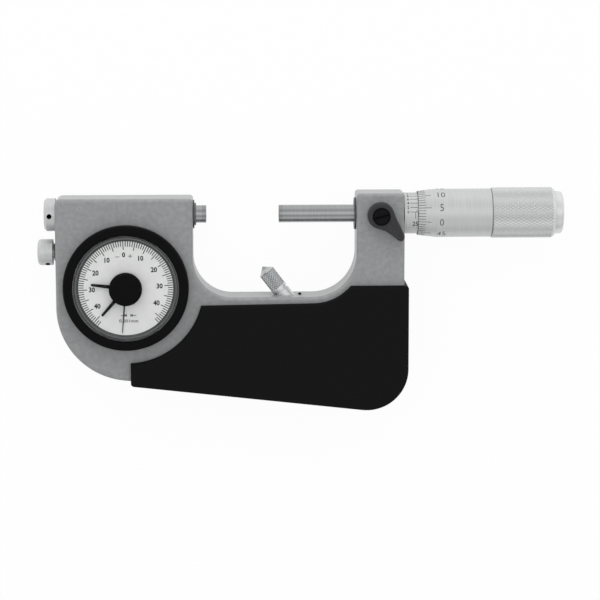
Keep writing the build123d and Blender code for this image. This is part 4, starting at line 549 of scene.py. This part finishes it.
# the lower and the upper chamfer, each as its height and its depth in mm
KNOB_FOOT = (0.1, 0.12)
KNOB_CROWN = (0.12, 0.14)
finish_nodes("lower_knob upper_knob", black_anodised)
# The lower knob's teeth are a lighter grey than the black anodising: a painted highlight on its rim.
anodised_painted_highlight = grained("black_anodising_painted_highlight", "1C1C1D", "2A2A2B", (0.35, 0.5), grain_mm=0.3,
                          Specular_IOR_Level=0.3)
for knob, body, finish in (("lower_knob", "lower_limit_body", anodised_painted_highlight),
                           ("upper_knob", "upper_limit_body", black_anodised)):
    low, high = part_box(knob)
    radius = (high.x - low.x) / 2 / MM + TEETH_PROUD
    bottom, top = low.z / MM + KNOB_FOOT[0], high.z / MM - KNOB_CROWN[0]
    outline = [
        (bottom, radius - KNOB_WALL), (bottom, radius - KNOB_FOOT[1]), (bottom + KNOB_FOOT[0], radius),
        (top - KNOB_CROWN[0], radius), (top, radius - KNOB_CROWN[1]), (top, radius - KNOB_WALL),
    ]
    bm = turned(outline, 4 * KNOB_TEETH)
    for vert in bm.verts:
        across = Vector((0, vert.co.y, vert.co.z))
        if across.length > (radius - TOOTH_ZONE) * MM:
            turn = math.atan2(vert.co.y, vert.co.z) * KNOB_TEETH
            vert.co -= across.normalized() * TOOTH_DEPTH * MM * (0.5 - 0.5 * math.cos(turn))
    bmesh.ops.transform(bm, matrix=upright, verts=bm.verts)
    teeth = mesh_piece(knob + "_teeth", bm, finish, crease=60)
    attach(teeth, body)

# Crystal: a clear acrylic disc pressed in the bezel, with a frosted turned edge.
# It adds only the faintest reflection, so its index is set low, and daylight passes it freely.
CRYSTAL_INDEX = 1.2
crystal, tree, shader = material("clear_acrylic", Base_Color=linear("FCFDFD"), IOR=CRYSTAL_INDEX,
                                 Transmission_Weight=1.0)
polish = surface_noise(tree, 6.0)
smear = add(tree, "ShaderNodeMapRange", {"To Min": 0.0, "To Max": 0.04}, Value=polish.outputs["Fac"])
tree.links.new(smear.outputs[0], shader.inputs["Roughness"])
path = add(tree, "ShaderNodeLightPath")
clear = add(tree, "ShaderNodeBsdfTransparent")
lets_light = add(tree, "ShaderNodeMath", {"operation": "MAXIMUM"}, _0=path.outputs["Is Shadow Ray"],
                 _1=path.outputs["Is Diffuse Ray"])
through = add(tree, "ShaderNodeMixShader", _0=lets_light.outputs[0], _1=shader.outputs[0],
              _2=clear.outputs[0])
tree.links.new(through.outputs[0], tree.nodes["Material Output"].inputs["Surface"])
finish_nodes("glass", crystal)

# Sleeve: the fixed graduated tube that the thimble screws along.
# Its index line, half-millimetre scale and vernier are engraved and filled with black.
INDEX_DEGREES = 9.1
SLEEVE_TICK = 0.15
INDEX_START_X = 73.0
INDEX_PAST_SCALE = 0.6
HALF_TICK = 0.8
WHOLE_TICK = 1.75
FIFTH_TICK = 2.4
SLEEVE_FIGURE_HEIGHT = 1.75
PITCH = 0.5
SCALE_START = 25
SCALE_START_X = 74.91
SCALE_LENGTH = 25
VERNIER_STEP = 12.96
VERNIER_START_X = 73.05
VERNIER_END_X = 75.9
VERNIER_FIGURE_X = 72.3
VERNIER_FIGURE_HEIGHT = 1.07
NUMERAL_LIFT = -34.0
WRAP_STEP = 0.4


def wrap(bm, radius_at, zero_degrees):
    """Bends a flat drawing round the measuring axis: its X stays, its Y becomes an arc."""
    span = max(abs(vert.co.y) for vert in bm.verts)
    cut = WRAP_STEP * MM
    for step in range(int(-span / cut), int(span / cut) + 1):
        bmesh.ops.bisect_plane(bm, geom=bm.verts[:] + bm.edges[:] + bm.faces[:], dist=1e-7,
                               plane_co=(0, step * cut, 0), plane_no=(0, 1, 0))
    for vert in bm.verts:
        radius = radius_at(vert.co.x / MM) * MM
        turn = math.radians(zero_degrees) + vert.co.y / radius
        lifted = radius + vert.co.z
        vert.co = Vector((vert.co.x, lifted * math.sin(turn), lifted * math.cos(turn)))


SLEEVE_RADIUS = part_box("sleeve")[1].z / MM
SLEEVE_DEGREE = math.radians(1) * SLEEVE_RADIUS
bm = bmesh.new()
stroke(bm, (INDEX_START_X, 0), (SCALE_START_X + SCALE_LENGTH + INDEX_PAST_SCALE, 0), SLEEVE_TICK)
for step in range(SCALE_LENGTH * 2 + 1):
    tick_x = SCALE_START_X + step * PITCH
    if step % 2:
        stroke(bm, (tick_x, 0), (tick_x, HALF_TICK), SLEEVE_TICK)
    else:
        below = FIFTH_TICK if step % 10 == 0 else WHOLE_TICK
        stroke(bm, (tick_x, 0), (tick_x, -below), SLEEVE_TICK)
for value in range(SCALE_START, SCALE_START + SCALE_LENGTH + 1, 5):
    numeral_x = SCALE_START_X + value - SCALE_START
    numeral_place = (numeral_x, NUMERAL_LIFT * SLEEVE_DEGREE)
    lettering(bm, str(value), numeral_place, SLEEVE_FIGURE_HEIGHT, weight=0.01)
for line, label in enumerate("024680"):
    line_y = line * VERNIER_STEP * SLEEVE_DEGREE
    stroke(bm, (VERNIER_START_X, line_y), (VERNIER_END_X, line_y), SLEEVE_TICK)
    lettering(bm, label, (VERNIER_FIGURE_X, line_y), VERNIER_FIGURE_HEIGHT, weight=0.01)
wrap(bm, lambda x: SLEEVE_RADIUS, INDEX_DEGREES)
# Black for the filled engravings, and for the painted shadow line at the thimble's edge.
engraving_and_shadow_black = grained("filled_engraving_and_painted_shadow", "0C0C0C", "141414", (0.5, 0.6), grain_mm=0.3,
                          Specular_IOR_Level=0.1)
sleeve_marks = mesh_piece("sleeve_marks", bm, engraving_and_shadow_black)
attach(sleeve_marks, "frame_body")

# Thimble: the graduated drum, fifty divisions round its tapered edge for one turn of the screw.
# The engraving is filled black, and a black ring at the sharp edge is a painted shadow line against the
# sleeve.
THIMBLE_DIVISIONS = 50
THIMBLE_ZERO = -16.8
THIMBLE_TICK = 0.15
THIMBLE_SHORT_TICK = 2.65
THIMBLE_LONG_TICK = 4.6
THIMBLE_FIGURE_X = 8.35
THIMBLE_FIGURE_HEIGHT = 2.58
EDGE_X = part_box("thimble")[0].x / MM
EDGE_RADIUS = 7.85
EDGE_STEPS = 96
EDGE_SHADOW_LINE = (
    # the painted shadow line's outline, measured along and outwards from the drum's edge in mm
    (-0.02, -0.3), (0.1, -0.3), (0.1, 0.02), (0.02, 0.02), (-0.02, -0.05),
)
DRUM_RADIUS = 8.7
TAPER_LENGTH = 6.55


def drum_radius(x):
    """The thimble's outer radius along the axis."""
    share = min(max((x - EDGE_X) / TAPER_LENGTH, 0.0), 1.0)
    return EDGE_RADIUS + (DRUM_RADIUS - EDGE_RADIUS) * share


bm = bmesh.new()
for division in range(THIMBLE_DIVISIONS):
    length = THIMBLE_SHORT_TICK if division % LONG_TICK_EVERY else THIMBLE_LONG_TICK
    degrees = (division * 360 / THIMBLE_DIVISIONS + 180) % 360 - 180
    line_y = math.radians(degrees) * EDGE_RADIUS
    part = bmesh.new()
    stroke(part, (EDGE_X, 0), (EDGE_X + length, 0), THIMBLE_TICK)
    if division % LONG_TICK_EVERY == 0:
        lettering(part, str(division), (EDGE_X + THIMBLE_FIGURE_X, 0), THIMBLE_FIGURE_HEIGHT, weight=-0.012)
    wrap(part, drum_radius, THIMBLE_ZERO + degrees)
    mesh = bpy.data.meshes.new("part")
    part.to_mesh(mesh)
    part.free()
    bm.from_mesh(mesh)
    bpy.data.meshes.remove(mesh)
thimble_marks = mesh_piece("thimble_marks", bm, engraving_and_shadow_black)
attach(thimble_marks, "thimble_body")
edge_shadow_ring = [(EDGE_X + along, EDGE_RADIUS + outwards) for along, outwards in EDGE_SHADOW_LINE]
thimble_edge_shadow = mesh_piece("thimble_edge_shadow", turned(edge_shadow_ring, EDGE_STEPS), engraving_and_shadow_black)
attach(thimble_edge_shadow, "thimble_body")

# Thimble grip: the knurled ring that the fingers turn, chromed like the drum.
# The knurl is rolled: diamond pyramids 1.9 mm long on two crossed spirals, with a bright chamfer after it.
KNURL_COLUMNS = 104
KNURL_ROW = 0.95
KNURL_DEPTH = 0.28
KNURL_ZONE = 0.3
ROW_MARGIN = 0.01


def knurled(plain_before, rows, plain_after, columns, depth):
    """Turns an outline and presses every second point of its rows inwards, row by row."""
    bm = turned(plain_before + rows + plain_after, columns)
    first, last = rows[0][0] - ROW_MARGIN, rows[-1][0] + ROW_MARGIN
    pitch = (rows[-1][0] - rows[0][0]) / (len(rows) - 1)
    outside = rows[0][1] - KNURL_ZONE
    pressed = set()
    for vert in bm.verts:
        along = vert.co.x / MM
        across = Vector((0, vert.co.y, vert.co.z))
        if first < along < last and across.length > outside * MM:
            row = round((along - rows[0][0]) / pitch)
            column = round(math.atan2(vert.co.y, vert.co.z) / (2 * math.pi) * columns)
            if (row + column) % 2:
                vert.co -= across.normalized() * depth * MM
                pressed.add(vert)
    for face in [f for f in bm.faces if len(pressed.intersection(f.verts)) == 2 and len(f.verts) == 4]:
        low_pair = [vert for vert in face.verts if vert in pressed]
        bmesh.utils.face_split(face, low_pair[0], low_pair[1])
    return bm


GRIP_X = 102.8
GRIP_END_X = 125.4
GRIP_RADIUS = 9.15
GRIP_BORE = 8.2
GRIP_END_RADIUS = 8.35
GRIP_START_CHAMFER = 0.35
GRIP_CHAMFER = 1.1
GRIP_LEAD = 0.2
BRIGHT_MARGIN = 0.1
UNDERCUT = (
    # the painted shade ring's outline, measured along from the grip and outwards from the drum in mm
    (-0.35, -0.2), (-0.35, 0.02), (0.0, 0.03), (0.0, -0.2),
)
knurl_length = GRIP_END_X - GRIP_X - GRIP_CHAMFER - GRIP_LEAD
row_count = round(knurl_length / KNURL_ROW)
grip_rows = [(GRIP_X + GRIP_LEAD + i * knurl_length / row_count, GRIP_RADIUS) for i in range(row_count + 1)]
grip_start = [(GRIP_X, GRIP_BORE), (GRIP_X, GRIP_RADIUS - GRIP_START_CHAMFER)]
grip_end = [(GRIP_END_X, GRIP_END_RADIUS), (GRIP_END_X, GRIP_BORE)]
bm = knurled(grip_start, grip_rows, grip_end, KNURL_COLUMNS, KNURL_DEPTH)
knurl_chrome = grained("rolled_knurl_chrome", "CDCECE", "D7D8D8", (0.3, 0.38), grain_mm=TURNING_MM,
                       Metallic=0.8)
knurled_grip = mesh_piece("knurled_grip", bm, knurl_chrome, crease=8)
knurled_grip.data.materials.append(cap_chrome)
bright_x = (GRIP_END_X - GRIP_CHAMFER / 2 - BRIGHT_MARGIN) * MM
for face in knurled_grip.data.polygons:
    face.material_index = 1 if face.center.x > bright_x else 0
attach(knurled_grip, "thimble_body")
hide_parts("thimble_grip")
# A dark grey ring at the grip's start: painted shade in the undercut groove.
undercut = [(GRIP_X + along, DRUM_RADIUS + outwards) for along, outwards in UNDERCUT]
groove_painted_shade = grained("undercut_painted_shade", "78797A", "868788", (0.6, 0.7), grain_mm=0.2, Metallic=0.3)
grip_groove_shade = mesh_piece("grip_groove_shade", turned(undercut, EDGE_STEPS), groove_painted_shade)
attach(grip_groove_shade, "thimble_body")

# Spindle lock: a cast lever with a waisted tail and its slotted screw, both chemically blacked.
# The oxide is matt and slightly grey; a black ring round the screw in its counterbore and a black strip in
# its slot are painted shade.
black_oxide = grained("black_oxide", "303032", "3A3A3C", (0.45, 0.6), grain_mm=0.5, bump_mm=0.01,
                      Specular_IOR_Level=0.2)
screw_black = grained("blacked_screw", "121214", "1C1C1E", (0.4, 0.55), grain_mm=0.5, bump_mm=0.02,
                      Specular_IOR_Level=0.02)
finish_nodes("lock_lever", black_oxide)
finish_nodes("lock_screw", screw_black)
finish_nodes("stop_grub_screw", shade_and_oxide_black)
LEVER_CORNERS = (
    # the lever's outline in mm from its screw: round the hub, along the waist, round the tip and back
    (4.5, 2.1), (3.25, 3.9), (1.2, 5.0), (-1.2, 5.0), (-3.3, 3.9), (-4.75, 2.0), (-5.05, -0.3), (-4.25, -2.7),
    (-2.5, -4.3), (-0.4, -4.75), (1.3, -5.3), (3.1, -6.4), (4.9, -7.8), (6.2, -9.0), (7.6, -9.4),
    (8.7, -8.4), (8.5, -6.9), (7.4, -4.7), (6.2, -2.3), (5.1, -0.1),
)
LEVER_STEPS = (
    # each layer's rise in mm and its size as a share of the layer below
    (0.0, 1.12), (0.3, 1.0), (2.3, 0.96), (0.4, 0.98), (0.0, 0.9),
)
lever_low, lever_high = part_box("lock_lever")
screw_low, screw_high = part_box("lock_screw")
lock_centre = Vector(((screw_low.x + screw_high.x) / 2, (screw_low.y + screw_high.y) / 2, lever_low.z))
bm = bmesh.new()
sole = bm.faces.new([bm.verts.new(Vector((x, y, 0)) * MM / LEVER_STEPS[0][1]) for x, y in LEVER_CORNERS])
for step, (lift, share) in enumerate(LEVER_STEPS):
    grown = bmesh.ops.extrude_face_region(bm, geom=[sole])["geom"]
    if step:
        bmesh.ops.delete(bm, geom=[sole], context="FACES_ONLY")
    raised = [item for item in grown if isinstance(item, bmesh.types.BMVert)]
    sole = next(item for item in grown if isinstance(item, bmesh.types.BMFace))
    bmesh.ops.scale(bm, vec=(share, share, 1), verts=raised)
    bmesh.ops.translate(bm, vec=(0, 0, lift * MM), verts=raised)
bmesh.ops.recalc_face_normals(bm, faces=bm.faces)
bmesh.ops.translate(bm, vec=lock_centre, verts=bm.verts)
waisted_lever = mesh_piece("waisted_lock_lever", bm, black_oxide, crease=180)
rounding = waisted_lever.modifiers.new("rounding", "SUBSURF")
rounding.levels = rounding.render_levels = 2
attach(waisted_lever, "lock_body")
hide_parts("lock_lever")
SCREW_TOP = screw_high.z / MM
SCREW_SLOT_TURN = math.radians(15)
SCREW_SLOT_WIDTH = 0.76
SCREW_SLOT_REACH = 2.7
SLOT_SHADE_LIFT = 0.03
SCREW_GAP = (
    # the painted shade ring's outline in the gap: heights from the screw's top and radii, in mm
    (-0.6, 2.9), (0.03, 2.6), (0.03, 3.05), (-0.15, 3.2), (-0.6, 3.2),
)
SCREW_GAP_STEPS = 64
gap = [(SCREW_TOP + height, radius) for height, radius in SCREW_GAP]
over_screw = Matrix.Translation((lock_centre.x, lock_centre.y, 0)) @ Matrix.Rotation(-math.pi / 2, 4, "Y")
gap_and_slot = turned(gap, SCREW_GAP_STEPS, over_screw)
slot_end = Vector((math.cos(SCREW_SLOT_TURN), math.sin(SCREW_SLOT_TURN))) * SCREW_SLOT_REACH
# A black strip just above the lever, lying in the screw's slot: painted shade.
slot_shade = bmesh.new()
stroke(slot_shade, -slot_end, slot_end, SCREW_SLOT_WIDTH)
bmesh.ops.translate(slot_shade, verts=slot_shade.verts,
                    vec=(lock_centre.x, lock_centre.y, lever_high.z + SLOT_SHADE_LIFT * MM))
mesh = bpy.data.meshes.new("slot_shade")
slot_shade.to_mesh(mesh)
slot_shade.free()
gap_and_slot.from_mesh(mesh)
bpy.data.meshes.remove(mesh)
screw_gap = mesh_piece("lock_screw_gap_shade", gap_and_slot, shade_and_oxide_black)
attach(screw_gap, "lock_body")

# Work stop: a steel pin with a fine knurled head, a cone tip and a bright clamping groove.
# It slides in the throat's floor and is held by a grub screw, whose black end stands just proud.
STOP_TIP = (20.1, -19.2, 0)
STOP_DIRECTION = (0.607, -0.794, 0)
STOP_RADIUS = 3.0
STOP_CONE = 2.517
STOP_LEAD = 0.2
STOP_END_CHAMFER = 0.3
STOP_KNURL_END = 9.4
# where the groove starts and ends along the pin and how deep it is, in mm
STOP_GROOVE = (10.3, 11.2, 0.5)
STOP_GROOVE_SLOPE = 0.1
STOP_KNURL_RIM = (0.1, 0.02)
STOP_LENGTH = 26
STOP_ROW = 0.6
STOP_KNURL_COLUMNS = 36
STOP_KNURL_DEPTH = 0.28
row_count = round((STOP_KNURL_END - STOP_CONE - STOP_LEAD) / STOP_ROW)
stop_rows = [(STOP_CONE + STOP_LEAD + i * STOP_ROW, STOP_RADIUS) for i in range(row_count + 1)]
groove_start, groove_end, groove_depth = STOP_GROOVE
bm = knurled([(0, 0), (STOP_CONE, STOP_RADIUS)], stop_rows, [
    (STOP_KNURL_END + STOP_KNURL_RIM[0], STOP_RADIUS - STOP_KNURL_RIM[1]),
    (groove_start, STOP_RADIUS), (groove_start + STOP_GROOVE_SLOPE, STOP_RADIUS - groove_depth),
    (groove_end - STOP_GROOVE_SLOPE, STOP_RADIUS - groove_depth), (groove_end, STOP_RADIUS),
    (STOP_LENGTH - STOP_END_CHAMFER, STOP_RADIUS), (STOP_LENGTH, STOP_RADIUS - STOP_END_CHAMFER),
    (STOP_LENGTH, 0),
], STOP_KNURL_COLUMNS, STOP_KNURL_DEPTH)
bmesh.ops.transform(bm, matrix=along_line(STOP_TIP, STOP_DIRECTION), verts=bm.verts)
knurl_steel = grained("knurled_bright_steel", "BCBDBE", "CACBCC", (0.26, 0.36), grain_mm=0.2, Metallic=1.0)
knurled_stop = mesh_piece("knurled_stop", bm, knurl_steel, crease=8)
knurled_stop.data.materials.append(cap_chrome)
stop_line = Vector(STOP_DIRECTION).normalized()
for face in knurled_stop.data.polygons:
    along = (face.center / MM - Vector(STOP_TIP)).dot(stop_line)
    face.material_index = 1 if along > STOP_KNURL_END else 0
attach(knurled_stop, "stop_body")
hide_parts("work_stop")
GRUB_POINT = (
    # the screw's end: distances along its axis from the CAD screw's end and radii, in mm
    (-0.3, 0), (-0.3, 0.5), (0.75, 0.5), (0.9, 0.3), (0.95, 0),
)
GRUB_STEPS = 24
grub_low, grub_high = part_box("stop_grub_screw")
grub_end = Vector(((grub_low.x + grub_high.x) / 2, grub_high.y, (grub_low.z + grub_high.z) / 2)) / MM
on_grub = along_line(grub_end, (0, 1, 0))
grub_point = mesh_piece("grub_screw_point", turned(GRUB_POINT, GRUB_STEPS, on_grub), shade_and_oxide_black)
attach(grub_point, "frame_body")
